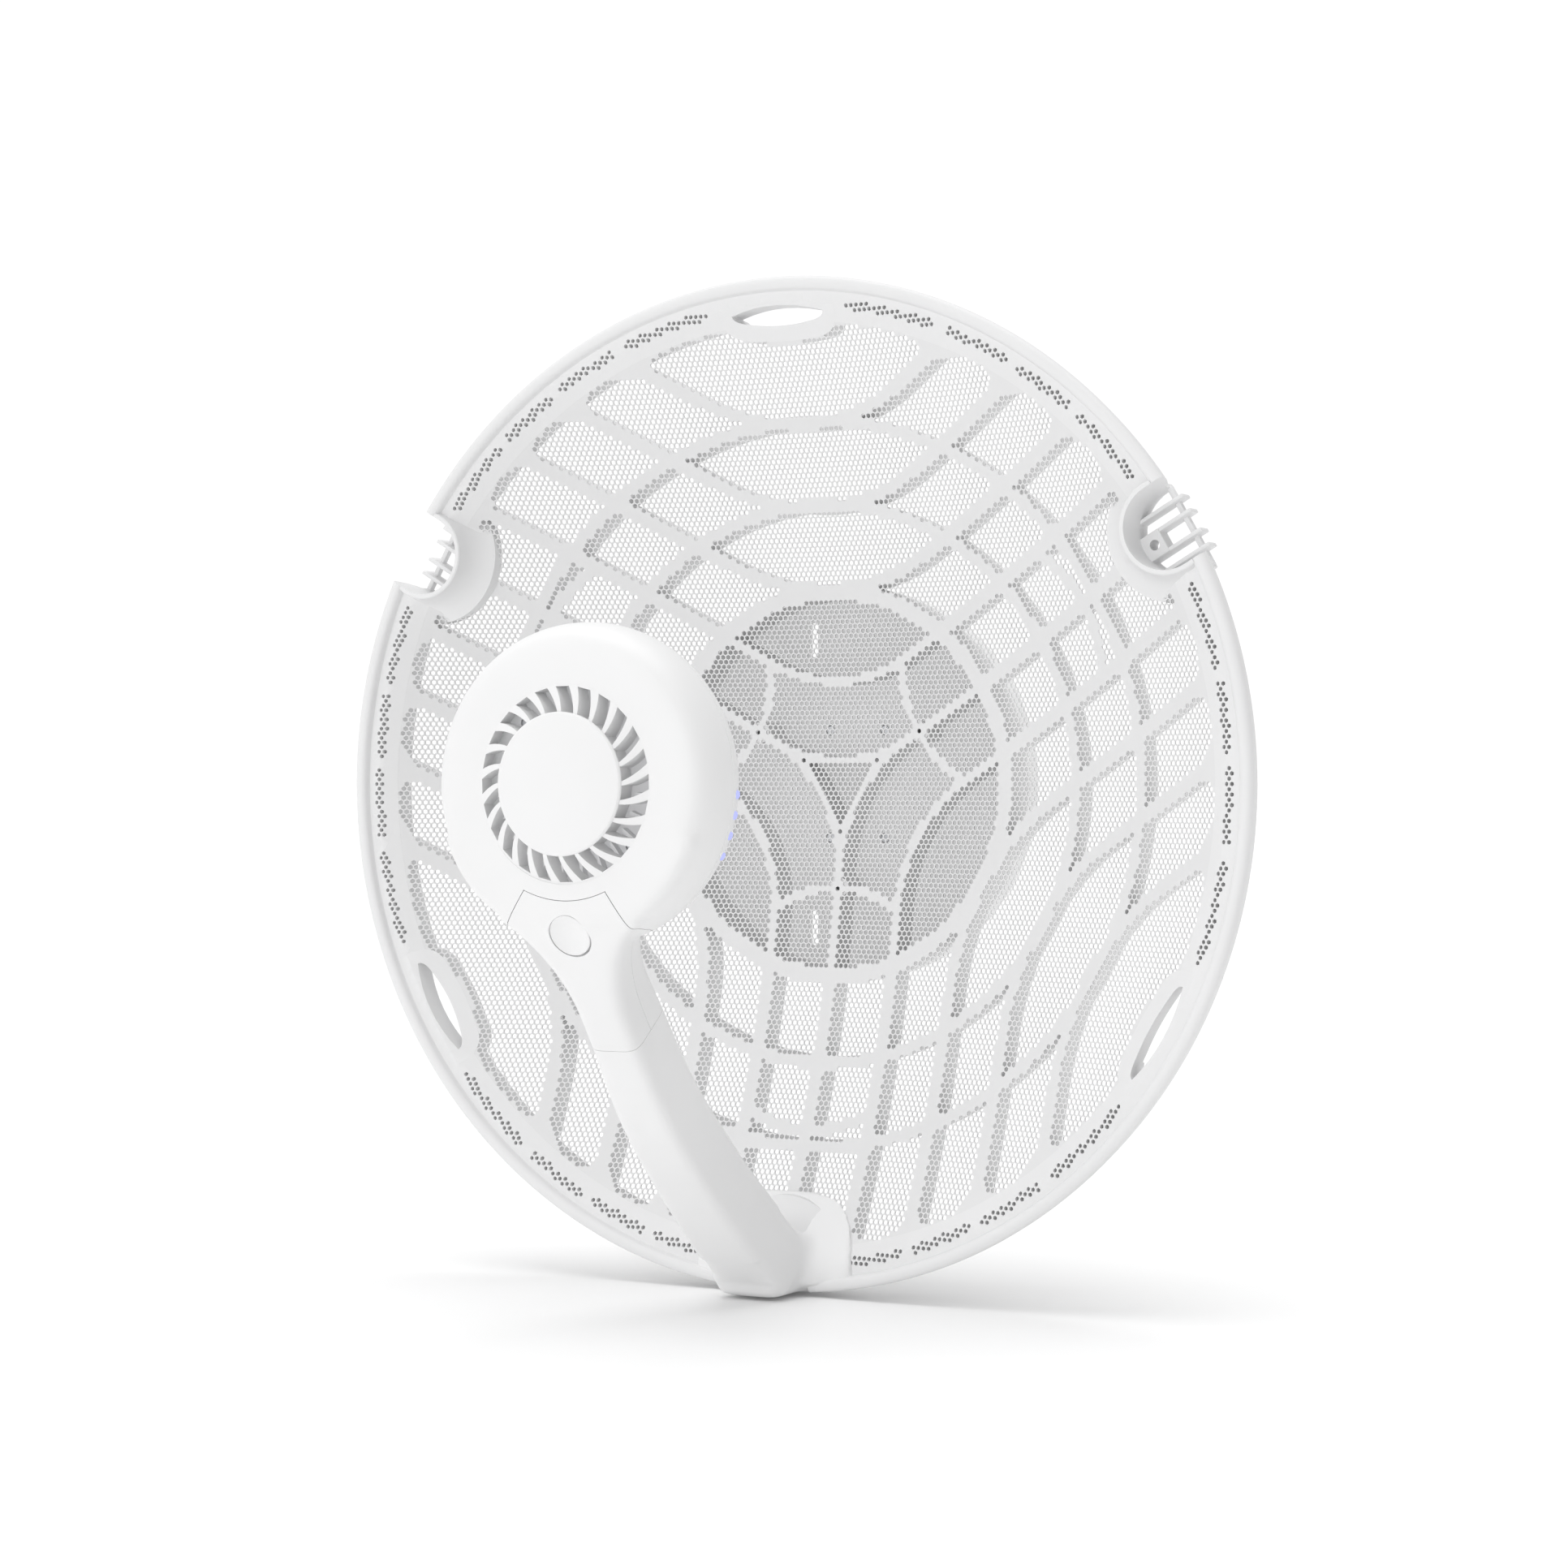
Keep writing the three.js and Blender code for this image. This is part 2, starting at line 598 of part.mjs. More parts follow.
// Front view of the saddle that the arm's foot spreads over the bottom of the dish.
function saddleShape() {
  const shape = new THREE.Shape();
  shape.moveTo(-SADDLE_HALF, SADDLE_LOW);
  shape.lineTo(-SADDLE_HALF, -196);
  shape.bezierCurveTo(-33, -178, -26, SADDLE_TOP, 0, SADDLE_TOP);
  shape.bezierCurveTo(26, SADDLE_TOP, 33, -178, SADDLE_HALF, -196);
  shape.lineTo(SADDLE_HALF, SADDLE_LOW);
  shape.closePath();
  return shape;
}

function makeArm() {
  const outer = armTube(0, SEAM + 0.0015, 1);
  const bore = armTube(SHELL_T, SEAM - 0.01, 1);
  const reach = bar(LIP_R - 1.8, -60, 60, RIM_FACETS);
  const pad = both(plate(saddleShape(), -8, -GAP, 8), reach);
  const inBowl = cut(bar(MESH_R + 4, -60, 60, RIM_FACETS), bowlLayer(-2, 60), sockets(1.8 + GAP, -GAP, 60));
  const bowlPad = both(plate(saddleShape(), -8, 20, 8), inBowl);
  const toe = both(block(-16.6, -24, -206.3, 16.6, 0, -186), bar(RIM_R - 0.2, -60, 60, RIM_FACETS));
  const plug = turned(
    both(plate(notchShape(-GAP - 0.1), -3.6, 13, 5), bar(RIM_R - 0.2, -60, 60, RIM_FACETS)),
    Math.PI,
  );
  const duct = block(-7, -30, -199, 7, 9, -190.6);
  const exit = bar(5.3, 7, 20, 24, 0, CABLE_Z);
  const screwHole = bar(2.1, 2, 20, 12, 0, -FOOT_SCREW_R);
  const hollow = cut(bore, block(-60, -20, -260, 60, 60, -150));
  return cut(join(outer, pad, bowlPad, toe, plug), hollow, duct, exit, screwHole);
}

// ---------- rear mount ----------
const COVER_SLOT = { x: -20, z: 62, width: 5, height: 15 };
const YOKE_Y = COVER_BACK + GAP;
const YOKE_T = 3.5;
const YOKE_SCREWS = [[-13, -23], [13, -23], [-13, 23], [13, 23]];
const HUB_SCREWS = [0, 1, 2].map((i) => i * THIRD);

function makeHubCover() {
  const body = spun([
    [0, COVER_Y], [79.6, COVER_Y], [79.6, 66], [83.4, 66], [83.4, COVER_BACK - 2.6],
    [81, COVER_BACK], [0, COVER_BACK],
  ], 36);
  const { x, z, width, height } = COVER_SLOT;
  const slots = [-z, z].map((cz) =>
    block(x - width / 2, 60, cz - height / 2, x + width / 2, 90, cz + height / 2));
  const screws = HUB_SCREWS.map((a) => turned(bar(2.3, 60, 90, 12, 0, -SCREW_PCR), a));
  const yokeScrews = YOKE_SCREWS.map(([cx, cz]) => bar(2.2, 60, 90, 12, cx, cz));
  return cut(body, ...slots, ...screws, ...yokeScrews);
}

// A screw along the dish's axis: a round head between y0 and y1, and a shank that starts at tip.
const screw = (headR, shankR, tip, y0, y1, x, z) =>
  join(bar(headR, y0, y1, 14, x, z), bar(shankR, tip, y0 + 0.5, 8, x, z));

function makeYoke() {
  const base = block(-26, YOKE_Y, -30, 26, YOKE_Y + YOKE_T, 30);
  const ear = (x) => join(
    block(x - EAR_T / 2, YOKE_Y + 1, -LUG_R, x + EAR_T / 2, PIVOT_Y, LUG_R),
    crossBar(LUG_R, x - EAR_T / 2, x + EAR_T / 2, PIVOT_Y, 0, 32),
  );
  const holes = YOKE_SCREWS.map(([x, z]) => bar(2.3, YOKE_Y - 1, YOKE_Y + 5, 12, x, z));
  return cut(join(base, ear(-EAR_X), ear(EAR_X)), crossBar(BOLT_HOLE, -30, 30, PIVOT_Y, 0), ...holes);
}

function makePoleBracket() {
  const groove = new THREE.Shape();
  groove.moveTo(-SEAT_HALF, SEAT_FRONT);
  groove.lineTo(SEAT_HALF, SEAT_FRONT);
  groove.lineTo(SEAT_HALF, SEAT_BACK);
  groove.lineTo(SEAT_HALF - 1.5, SEAT_BACK);
  groove.lineTo(7, SEAT_Y);
  groove.lineTo(-7, SEAT_Y);
  groove.lineTo(-SEAT_HALF + 1.5, SEAT_BACK);
  groove.lineTo(-SEAT_HALF, SEAT_BACK);
  groove.closePath();
  const height = 2 * SEAT_TALL;
  const saddle = solid(
    new THREE.ExtrudeGeometry(groove, { depth: height, bevelEnabled: false }).translate(0, 0, -SEAT_TALL),
  );
  const knuckle = join(
    crossBar(LUG_R - 0.5, -KNUCKLE_HALF, KNUCKLE_HALF, PIVOT_Y, 0, 32),
    block(-KNUCKLE_HALF, PIVOT_Y, -LUG_R + 0.5, KNUCKLE_HALF, SEAT_FRONT + 1, LUG_R - 0.5),
  );
  const straps = [[-20, -20], [20, -20], [-20, 20], [20, 20]].map(([x, z]) =>
    block(x - 2.6, 90, z - 7.5, x + 2.6, 130, z + 7.5));
  return cut(join(saddle, knuckle), crossBar(BUSH_R + GAP, -30, 30, PIVOT_Y, 0), ...straps);
}

const ring = (outer, inner, x0, x1) =>
  cut(crossBar(outer, x0, x1, PIVOT_Y, 0), crossBar(inner, x0 - 1, x1 + 1, PIVOT_Y, 0));
const hexBar = (radius, x0, x1) => crossBar(radius, x0, x1, PIVOT_Y, 0, 6);

const root = new THREE.Group();
root.position.set(0, -SEAT_Y, 0);

function add(name, body, material) {
  const mesh = new THREE.Mesh(geometryOf(body), material);
  mesh.name = name;
  root.add(mesh);
}

const shell = cut(racket(0), racket(SHELL_T));
add('mesh_reflector', makeMesh(), metal(WHITE, 0.5));
add('dish_frame', makeFrame(), plastic(WHITE));
add('head_front_shell', makeFrontShell(shell), plastic(WHITE));
add('head_rear_shell', makeRearShell(shell), plastic(WHITE));
add('port_cover', makePortCover(shell), plastic(WHITE));
add('cover_button', makeButton(), plastic(WHITE));
add('button_spring', makeSpring(), metal(0xc8c8c8));
add('vent_ring', makeVent(), plastic(WHITE));
add('vent_cap', makeCap(), plastic(WHITE));
add('heat_sink', makeHeatSink(), metal(0x9a9c9e));
add('main_board', makeBoard(), plastic(0x1f5a36, 0.4));
add('feed_horn', makeFeedHorn(), metal(0xd0d0d0));
add('arm', makeArm(), plastic(WHITE));
add('head_gasket', makeGasket(), plastic(0x2b2b2d, 0.8));
add('rf_module', makeRadioCan(), metal(0xb4b6b8));
add('thermal_pad', bar(20, BOARD_Y - 1.5, BOARD_Y - 0.3, 32), plastic(0x8f99a3, 0.9));
add('port_board', armBlock(7.9, 26, 27.3, -50, -90), plastic(0x1f5a36, 0.4));
add('ethernet_jack', makeJack(), metal(0xbfc2c4));
add('cable_grommet', makeGrommet(), plastic(0x29292b, 0.85));
add('foot_screw', screw(4.2, 1.9, 3.5, SOCKET_DEPTH + GAP, SOCKET_DEPTH + 2.8, 0, -FOOT_SCREW_R), steel);
BOARD_SCREWS.forEach((a, i) => {
  const body = screw(2.8, 1.5, BOARD_Y - 4, BOARD_Y + BOARD_T + GAP, BOARD_Y + 3.6, SCREW_R, 0);
  add(`board_screw_${i + 1}`, turned(body, a), steel);
});
[0, 1, 2, 3].forEach((i) => {
  const { angle, y } = ledPlace(i);
  add(`light_pipe_${i + 1}`, alongRadius(1.5, 51.4, 58.9, angle, y), plastic(0xb8c4ff, 0.2));
});
add('hub_rear_cover', makeHubCover(), plastic(GREY));
HUB_SCREWS.forEach((a, i) => {
  const body = screw(4, 1.9, 52, COVER_BACK + GAP, COVER_BACK + 2.8, 0, -SCREW_PCR);
  add(`hub_screw_${i + 1}`, turned(body, a), steel);
});
add('tilt_yoke', makeYoke(), metal(0xc9cbcc));
YOKE_SCREWS.forEach(([x, z], i) => {
  const y = YOKE_Y + YOKE_T + GAP;
  add(`yoke_screw_${i + 1}`, screw(3.8, 1.9, COVER_Y + 0.2, y, y + 2.2, x, z), steel);
});
add('pole_bracket', makePoleBracket(), metal(0xc9cbcc));
add('pivot_bush', ring(BUSH_R, BOLT_HOLE, -KNUCKLE_HALF, KNUCKLE_HALF), plastic(0x3a3a3c, 0.6));
add('tilt_bolt', join(hexBar(7.2, -31.6, -26.2), crossBar(BOLT_R, -26.7, 36, PIVOT_Y, 0)), steel);
add('tilt_nut', cut(hexBar(7.2, 26.2, 32.8), crossBar(BOLT_HOLE, 20, 40, PIVOT_Y, 0)), steel);
add('washer_left', ring(LUG_R, BOLT_HOLE, -25.9, -24.3), steel);
add('washer_right', ring(LUG_R, BOLT_HOLE, 24.3, 25.9), steel);

export default root;
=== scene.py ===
# %% [markdown]
# A dish antenna for a wireless link between two buildings.
#
# The real thing is a round sheet of punched metal, moulded into a white plastic frame of thin ribs. A curved arm
# stands on the frame's lower edge and holds a round radio head in front of the dish, and a grey cover with a
# tilting bracket sits behind it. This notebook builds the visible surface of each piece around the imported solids.

import json
import math

import bmesh
import bpy
from mathutils import Matrix, Vector

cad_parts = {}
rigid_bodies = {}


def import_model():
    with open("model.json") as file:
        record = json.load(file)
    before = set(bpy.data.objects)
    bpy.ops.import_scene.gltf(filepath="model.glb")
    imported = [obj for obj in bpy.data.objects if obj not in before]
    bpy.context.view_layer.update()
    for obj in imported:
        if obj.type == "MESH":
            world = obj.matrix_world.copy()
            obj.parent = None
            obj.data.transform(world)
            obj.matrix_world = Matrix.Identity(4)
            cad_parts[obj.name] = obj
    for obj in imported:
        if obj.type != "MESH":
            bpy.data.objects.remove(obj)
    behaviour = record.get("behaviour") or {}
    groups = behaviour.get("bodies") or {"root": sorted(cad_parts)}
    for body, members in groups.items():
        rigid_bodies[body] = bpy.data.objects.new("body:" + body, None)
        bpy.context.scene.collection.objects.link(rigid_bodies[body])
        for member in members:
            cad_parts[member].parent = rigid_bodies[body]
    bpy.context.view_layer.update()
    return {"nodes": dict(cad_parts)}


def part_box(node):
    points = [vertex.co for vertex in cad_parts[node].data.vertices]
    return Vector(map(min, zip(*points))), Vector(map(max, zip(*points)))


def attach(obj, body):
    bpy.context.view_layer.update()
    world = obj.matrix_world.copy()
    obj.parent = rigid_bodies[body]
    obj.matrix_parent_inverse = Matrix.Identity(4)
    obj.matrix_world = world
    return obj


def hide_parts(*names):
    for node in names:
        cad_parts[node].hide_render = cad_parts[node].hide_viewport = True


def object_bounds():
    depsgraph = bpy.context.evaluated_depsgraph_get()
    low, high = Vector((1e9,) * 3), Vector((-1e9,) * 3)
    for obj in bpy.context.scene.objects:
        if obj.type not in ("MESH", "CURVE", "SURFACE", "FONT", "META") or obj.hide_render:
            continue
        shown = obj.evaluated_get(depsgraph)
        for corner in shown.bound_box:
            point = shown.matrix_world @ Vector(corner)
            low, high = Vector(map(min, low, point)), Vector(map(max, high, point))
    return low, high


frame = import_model()
scene = bpy.context.scene

# %% [markdown]
# Pieces are drawn in millimetres in the dish's own frame: y is 0 on the flange of the rim and the dish looks
# along -Y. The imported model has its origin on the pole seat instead, so every piece is moved back at the end by
# the distance between the two, which the rear cover's back face gives.

# %% From the dish's frame to the model's frame
MM = 0.001
COVER_FRONT, COVER_BACK = 74.4, 78.6
SEAT_Y = COVER_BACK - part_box("hub_rear_cover")[1].y / MM
TO_MODEL = Matrix.Scale(MM, 4) @ Matrix.Translation((0, -SEAT_Y, 0))
print("the flange stands", round(SEAT_Y, 2), "mm in front of the pole seat")

# %% [markdown]
# The camera stands level with the middle of the dish and looks at it from 28 degrees to its right, with a lens
# a little longer than a portrait lens.

# %% Camera
VIEW_SIDE = math.radians(28.435)
VIEW_DISTANCE = 1.35404
camera = bpy.data.objects.new("camera", bpy.data.cameras.new("camera"))
scene.collection.objects.link(camera)
camera.location = (
    VIEW_DISTANCE * math.sin(VIEW_SIDE),
    -VIEW_DISTANCE * math.cos(VIEW_SIDE) - SEAT_Y * MM,
    0,
)
camera.rotation_euler = (math.pi / 2, 0, VIEW_SIDE)
camera.data.lens = 76.27
camera.data.shift_x = 0.00595
scene.camera = camera
print("camera at", [round(v, 3) for v in camera.location])

# %% [markdown]
# A bmesh becomes a piece in one place, so that every piece is moved and shaded alike. Faces are smooth, and an
# edge sharper than some angle stays sharp, which suits moulded parts.

# %% Make objects from meshes
def work_object(bm, name):
    """An object in dish millimetres, to be cut or joined before it becomes a piece."""
    mesh = bpy.data.meshes.new(name)
    bm.to_mesh(mesh)
    bm.free()
    obj = bpy.data.objects.new(name, mesh)
    scene.collection.objects.link(obj)
    return obj


def become_piece(obj, body, material, nodes=(), sharp=32):
    """Moves a finished work object into the model's frame and hands it to the frame."""
    obj.data.transform(TO_MODEL)
    obj.data.materials.clear()
    obj.data.materials.append(material)
    obj.data.shade_smooth()
    obj.data.set_sharp_from_angle(angle=math.radians(sharp))
    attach(obj, body)
    if nodes:
        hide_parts(*nodes)
    print(obj.name, len(obj.data.polygons), "faces")
    return obj


def bake_modifiers(obj):
    """Replaces an object's mesh with the one that its modifiers make."""
    shaped = obj.evaluated_get(bpy.context.evaluated_depsgraph_get())
    mesh = bpy.data.meshes.new_from_object(shaped)
    obj.modifiers.clear()
    old, obj.data = obj.data, mesh
    bpy.data.meshes.remove(old)


def boolean(obj, tool, how, keep_tool=False):
    """Joins or cuts one closed mesh with another and applies the result."""
    mod = obj.modifiers.new(how, "BOOLEAN")
    mod.operation = how
    mod.solver = "MANIFOLD"
    mod.object = tool
    bake_modifiers(obj)
    if len(obj.data.polygons) == 0:
        raise RuntimeError(f"{how} of {obj.name} and {tool.name} left nothing")
    if not keep_tool:
        bpy.data.objects.remove(tool)
    return obj


def copied(obj, name):
    """A second object with a mesh of its own."""
    twin = obj.copy()
    twin.data = obj.data.copy()
    twin.name = name
    scene.collection.objects.link(twin)
    return twin


# %% [markdown]
# Three shapes cover most of this object: a profile spun about the dish's axis, an outline pushed along that
# axis, and a section carried along a path. The last one starts as a flat grid whose rows become sections.

# %% Shape helpers
def verts_of(geom):
    """The vertices among the things that a bmesh operator made."""
    return [v for v in geom if isinstance(v, bmesh.types.BMVert)]


def spun(profile, steps=180, name="spun"):
    """Spins a profile of (radius, y) about the Y axis. It closes on itself or ends on the axis."""
    bm = bmesh.new()
    verts = [bm.verts.new((r, y, 0)) for r, y in profile]
    edges = [bm.edges.new(pair) for pair in zip(verts, verts[1:])]
    if min(profile[0][0], profile[-1][0]) > 0:
        edges.append(bm.edges.new((verts[-1], verts[0])))
    bmesh.ops.spin(
        bm, geom=verts + edges, cent=(0, 0, 0), axis=(0, 1, 0), dvec=(0, 0, 0),
        angle=2 * math.pi, steps=steps, use_merge=True, use_duplicate=False,
    )
    bmesh.ops.remove_doubles(bm, verts=bm.verts[:], dist=1e-4)
    bmesh.ops.dissolve_degenerate(bm, dist=1e-4, edges=bm.edges[:])
    bmesh.ops.recalc_face_normals(bm, faces=bm.faces[:])
    return work_object(bm, name)


def pushed(corners, way, name):
    """Pushes a flat face along a vector, which makes a closed body."""
    bm = bmesh.new()
    face = bm.faces.new([bm.verts.new(corner) for corner in corners])
    grown = bmesh.ops.extrude_face_region(bm, geom=[face])["geom"]
    bmesh.ops.translate(bm, verts=verts_of(grown), vec=way)
    bmesh.ops.recalc_face_normals(bm, faces=bm.faces[:])
    return work_object(bm, name)


def plate(outline, y0, y1, name="plate"):
    """Pushes a closed outline of (x, z) from y0 to y1."""
    return pushed([(x, y0, z) for x, z in outline], (0, y1 - y0, 0), name)


def swept(stations, place, corners, name="swept"):
    """Carries a closed section along a path. place(share, corner) gives a point; the ends are capped."""
    bm = bmesh.new()
    bmesh.ops.create_grid(bm, x_segments=stations, y_segments=corners, size=0.5)
    for v in bm.verts:
        v.co = place(v.co.x + 0.5, round((v.co.y + 0.5) * corners) % corners)
    bmesh.ops.remove_doubles(bm, verts=bm.verts[:], dist=1e-4)
    bmesh.ops.holes_fill(bm, edges=[e for e in bm.edges if e.is_boundary], sides=0)
    bmesh.ops.recalc_face_normals(bm, faces=bm.faces[:])
    return work_object(bm, name)


def turned(obj, angle):
    """Turns a work object about the dish's axis; a positive angle carries +X towards +Z."""
    obj.data.transform(Matrix.Rotation(-angle, 4, "Y"))
    return obj


def arc(cx, cz, radius, start, end, steps):
    """Points on an arc in the XZ plane."""
    angles = [start + (end - start) * i / steps for i in range(steps + 1)]
    return [(cx + radius * math.cos(a), cz + radius * math.sin(a)) for a in angles]


THIRD = 2 * math.pi / 3
print("a third of a turn:", round(math.degrees(THIRD)), "degrees")

# %% [markdown]
# The white parts are moulded plastic with the fine even grain that a spark-eroded tool leaves. It could be a flat
# white, but then large smooth faces would look like paper. Here a fine noise gives the grain as bump, and a slow
# noise shifts colour and gloss a little, as mouldings really do.

# %% Finishes
def finish(name, colour, roughness, grain=0.12, grain_size=0.35, drift=0.02, metallic=0.0, glow=None):
    """A procedural finish: grain_size in millimetres, drift is how much the colour wanders."""
    material = bpy.data.materials.new(name)
    material.use_nodes = True
    tree = material.node_tree
    link = tree.links.new
    shader = tree.nodes["Principled BSDF"]
    shader.inputs["Metallic"].default_value = metallic
    place = tree.nodes.new("ShaderNodeTexCoord")
    slow = tree.nodes.new("ShaderNodeTexNoise")
    slow.inputs["Scale"].default_value = 18
    slow.inputs["Detail"].default_value = 3
    fine = tree.nodes.new("ShaderNodeTexNoise")
    fine.inputs["Scale"].default_value = 1 / (grain_size * MM)
    fine.inputs["Detail"].default_value = 2
    for noise in (slow, fine):
        link(place.outputs["Object"], noise.inputs["Vector"])
    ramp = tree.nodes.new("ShaderNodeValToRGB")
    dark = tuple(c * (1 - drift) for c in colour)
    ramp.color_ramp.elements[0].position = 0.35
    ramp.color_ramp.elements[0].color = (*dark, 1)
    ramp.color_ramp.elements[1].position = 0.65
    ramp.color_ramp.elements[1].color = (*colour, 1)
    link(slow.outputs["Fac"], ramp.inputs["Fac"])
    link(ramp.outputs["Color"], shader.inputs["Base Color"])
    gloss = tree.nodes.new("ShaderNodeMapRange")
    gloss.inputs["To Min"].default_value = roughness - 0.05
    gloss.inputs["To Max"].default_value = roughness + 0.05
    link(fine.outputs["Fac"], gloss.inputs["Value"])
    link(gloss.outputs["Result"], shader.inputs["Roughness"])
    bump = tree.nodes.new("ShaderNodeBump")
    bump.inputs["Strength"].default_value = grain
    bump.inputs["Distance"].default_value = 0.05 * MM
    link(fine.outputs["Fac"], bump.inputs["Height"])
    link(bump.outputs["Normal"], shader.inputs["Normal"])
    if glow:
        shader.inputs["Emission Color"].default_value = (*glow, 1)
        shader.inputs["Emission Strength"].default_value = 1.0
    return material


WHITE = (0.82, 0.82, 0.822)
shell_white = finish("shell white plastic", WHITE, 0.5)
frame_white = finish("frame white plastic", (0.77, 0.77, 0.773), 0.55, grain=0.15)
sheet_paint = finish("white powder coat", (0.74, 0.74, 0.743), 0.5, grain=0.1, grain_size=0.6)
cover_grey = finish("grey plastic", (0.91, 0.91, 0.912), 0.6, grain=0.2)
bracket_coat = finish("bracket powder coat", (0.60, 0.60, 0.61), 0.5, grain=0.3, grain_size=0.5, metallic=0.3)
solder_mask = finish("green board", (0.03, 0.16, 0.07), 0.3, grain=0.15, grain_size=0.8, drift=0.2)
bright_metal = finish("machined aluminium", (0.70, 0.71, 0.72), 0.3, grain=0.15, grain_size=0.4, metallic=1.0)
# The hub screws' steel is dark. This is partly their own colour and partly painted shade, so that their ends deep
# in the bosses' holes show as dark dots through the sheet.
screw_steel_painted_shade = finish("dark screw steel with painted hole shade", (0.05, 0.05, 0.052), 0.5, grain=0.2, grain_size=0.5, metallic=0.6)
print(len(bpy.data.materials), "finishes so far")

# %% [markdown]
# The dish is a paraboloid 413 mm across over its rim. Everything that follows its surface asks this one function
# how deep the surface is at some radius. The ribs follow a pattern that repeats three times round the dish: in
# each third five U-shaped ribs open outwards, one inside the other, and their straight legs run along the two
# 30 degree directions. Two rings cross them.

# %% The dish's surface and its rib pattern
DISH_R, DISH_DEPTH = 196.0, 58.7
RIM_R, LIP_R = 206.5, 201.0
SHEET_T = 0.8
RIB_HALF, RIB_DEEP = 2.0, 14.0
HUB_RIB_HALF = 1.3
HUB_IN, HUB_OUT = 78.0, 84.0
RINGS = (150.3, 116.5)
SCREW_PCR = 43.8
SCREW_ANGLES = [math.radians(a) for a in (30, 150, 270)]
SCREW_SPOTS = [(SCREW_PCR * math.cos(a), SCREW_PCR * math.sin(a)) for a in SCREW_ANGLES]
RIB_PITCH = 29.0
RIB_SOFT = 0.8  # how much of a rib's back corners is taken off
OVERLAP = 0.02  # how far the ribs reach into the sheet
COS30 = math.cos(math.pi / 6)
U_RIBS = [(RIB_PITCH * k, 96.0 if k > 1 else 64.0) for k in range(5)]
ARC_R = 50.0  # the three small arcs inside the hub
ARC_REACH = 30.0


def dish_y(r):
    """How far the dish's front surface lies behind the flange at some radius."""
    return DISH_DEPTH * (1 - (min(r, DISH_R) / DISH_R) ** 2)


def u_centre(offset, bend):
    """The height at which a U-shaped rib's bend has its centre."""
    return (offset + bend) / COS30


def u_distance(x, z, offset, bend):
    """How far a point is from a U-shaped rib's middle line."""
    x, cz = abs(x), u_centre(offset, bend)
    if math.atan2(x, cz - z) <= math.pi / 6:
        return abs(math.hypot(x, z - cz) - bend)
    return abs(-0.5 * (x - bend / 2) + COS30 * (z - (cz - bend * COS30)))


def turned_point(x, z, turn):
    """A point's place in a part of the pattern that is turned by some angle."""
    c, s = math.cos(turn), math.sin(turn)
    return c * x + s * z, -s * x + c * z


def rib_distance(x, z):
    """How far a point is outside the nearest rib's flank; negative on a rib."""
    r = math.hypot(x, z)
    half = RIB_HALF if r > HUB_IN else HUB_RIB_HALF
    near = min(abs(r - ring) for ring in RINGS) - half
    for third in range(3):
        tx, tz = turned_point(x, z, third * THIRD)
        near = min(near, min(u_distance(tx, tz, *u) for u in U_RIBS) - half)
        if abs(tx) < ARC_REACH and tz < 0:
            near = min(near, abs(math.hypot(tx, tz + SCREW_PCR + ARC_R) - ARC_R) - half)
    return near


print("bottoms of the U ribs:", [round(u_centre(*u) - u[1], 1) for u in U_RIBS])

# %% [markdown]
# Each third also has a D-shaped finger slot in the middle of its edge, and between two thirds the rim has a
# round-ended socket that can take the foot of the arm.

# %% Slots and sockets
SLOT_HALF, SLOT_IN, SLOT_OUT = 21.0, 187.4, 195.2
NOTCH_R, NOTCH_C = 17.0, 197.5
SOCKET_TURNS = (-math.pi / 3, math.pi / 3, math.pi)
SLOT_TURNS = (0, THIRD, 2 * THIRD)
FAR_AWAY = 99.0


def curve_points(p0, p1, p2, steps):
    """Points on a quadratic curve, without its last one."""
    return [
        tuple((1 - t) ** 2 * a + 2 * t * (1 - t) * b + t * t * c for a, b, c in zip(p0, p1, p2))
        for t in (i / steps for i in range(steps))
    ]


def slot_outline(margin, steps=8):
    """The finger slot at the top of the dish, grown by a margin."""
    half, side = SLOT_HALF + margin, 192 + margin * 0.4
    corner = (half * 0.62, SLOT_IN + 1 - margin)
    top = 2 * (SLOT_OUT + margin) - side
    return (
        curve_points((-half, side), (-half, 189.2 - margin), (-corner[0], corner[1]), steps)
        + curve_points((-corner[0], corner[1]), (0, SLOT_IN - 1 - margin), corner, steps)
        + curve_points(corner, (half, 189.2 - margin), (half, side), steps)
        + curve_points((half, side), (0, top), (-half, side), steps)
    )


def notch_outline(margin, steps=20):
    """The socket at the top of the dish, grown by a margin."""
    r = NOTCH_R + margin
    return [(-r, 230.0)] + arc(0, NOTCH_C, r, math.pi, 2 * math.pi, steps) + [(r, 230.0)]


def slot_distance(x, z):
    """Roughly how far a point is outside the nearest finger slot."""
    best = FAR_AWAY
    for turn in SLOT_TURNS:
        tx, tz = turned_point(x, z, turn)
        side = abs(tx) - SLOT_HALF + 3
        bulge = SLOT_IN - 0.5 + 2.6 * (tx / SLOT_HALF) ** 2 - tz
        outside = max(side, bulge) > 0
        best = min(best, math.hypot(max(side, 0), max(bulge, 0)) if outside else -1.0)
    return best


def socket_distance(x, z):
    """How far a point is outside the nearest socket's round wall."""
    best = FAR_AWAY
    for turn in SOCKET_TURNS:
        tx, tz = turned_point(x, z, turn)
        best = min(best, math.hypot(tx, min(tz - NOTCH_C, 0)) - NOTCH_R if tz > 120 else FAR_AWAY)
    return best


print("slots and sockets:", len(SLOT_TURNS), len(SOCKET_TURNS))


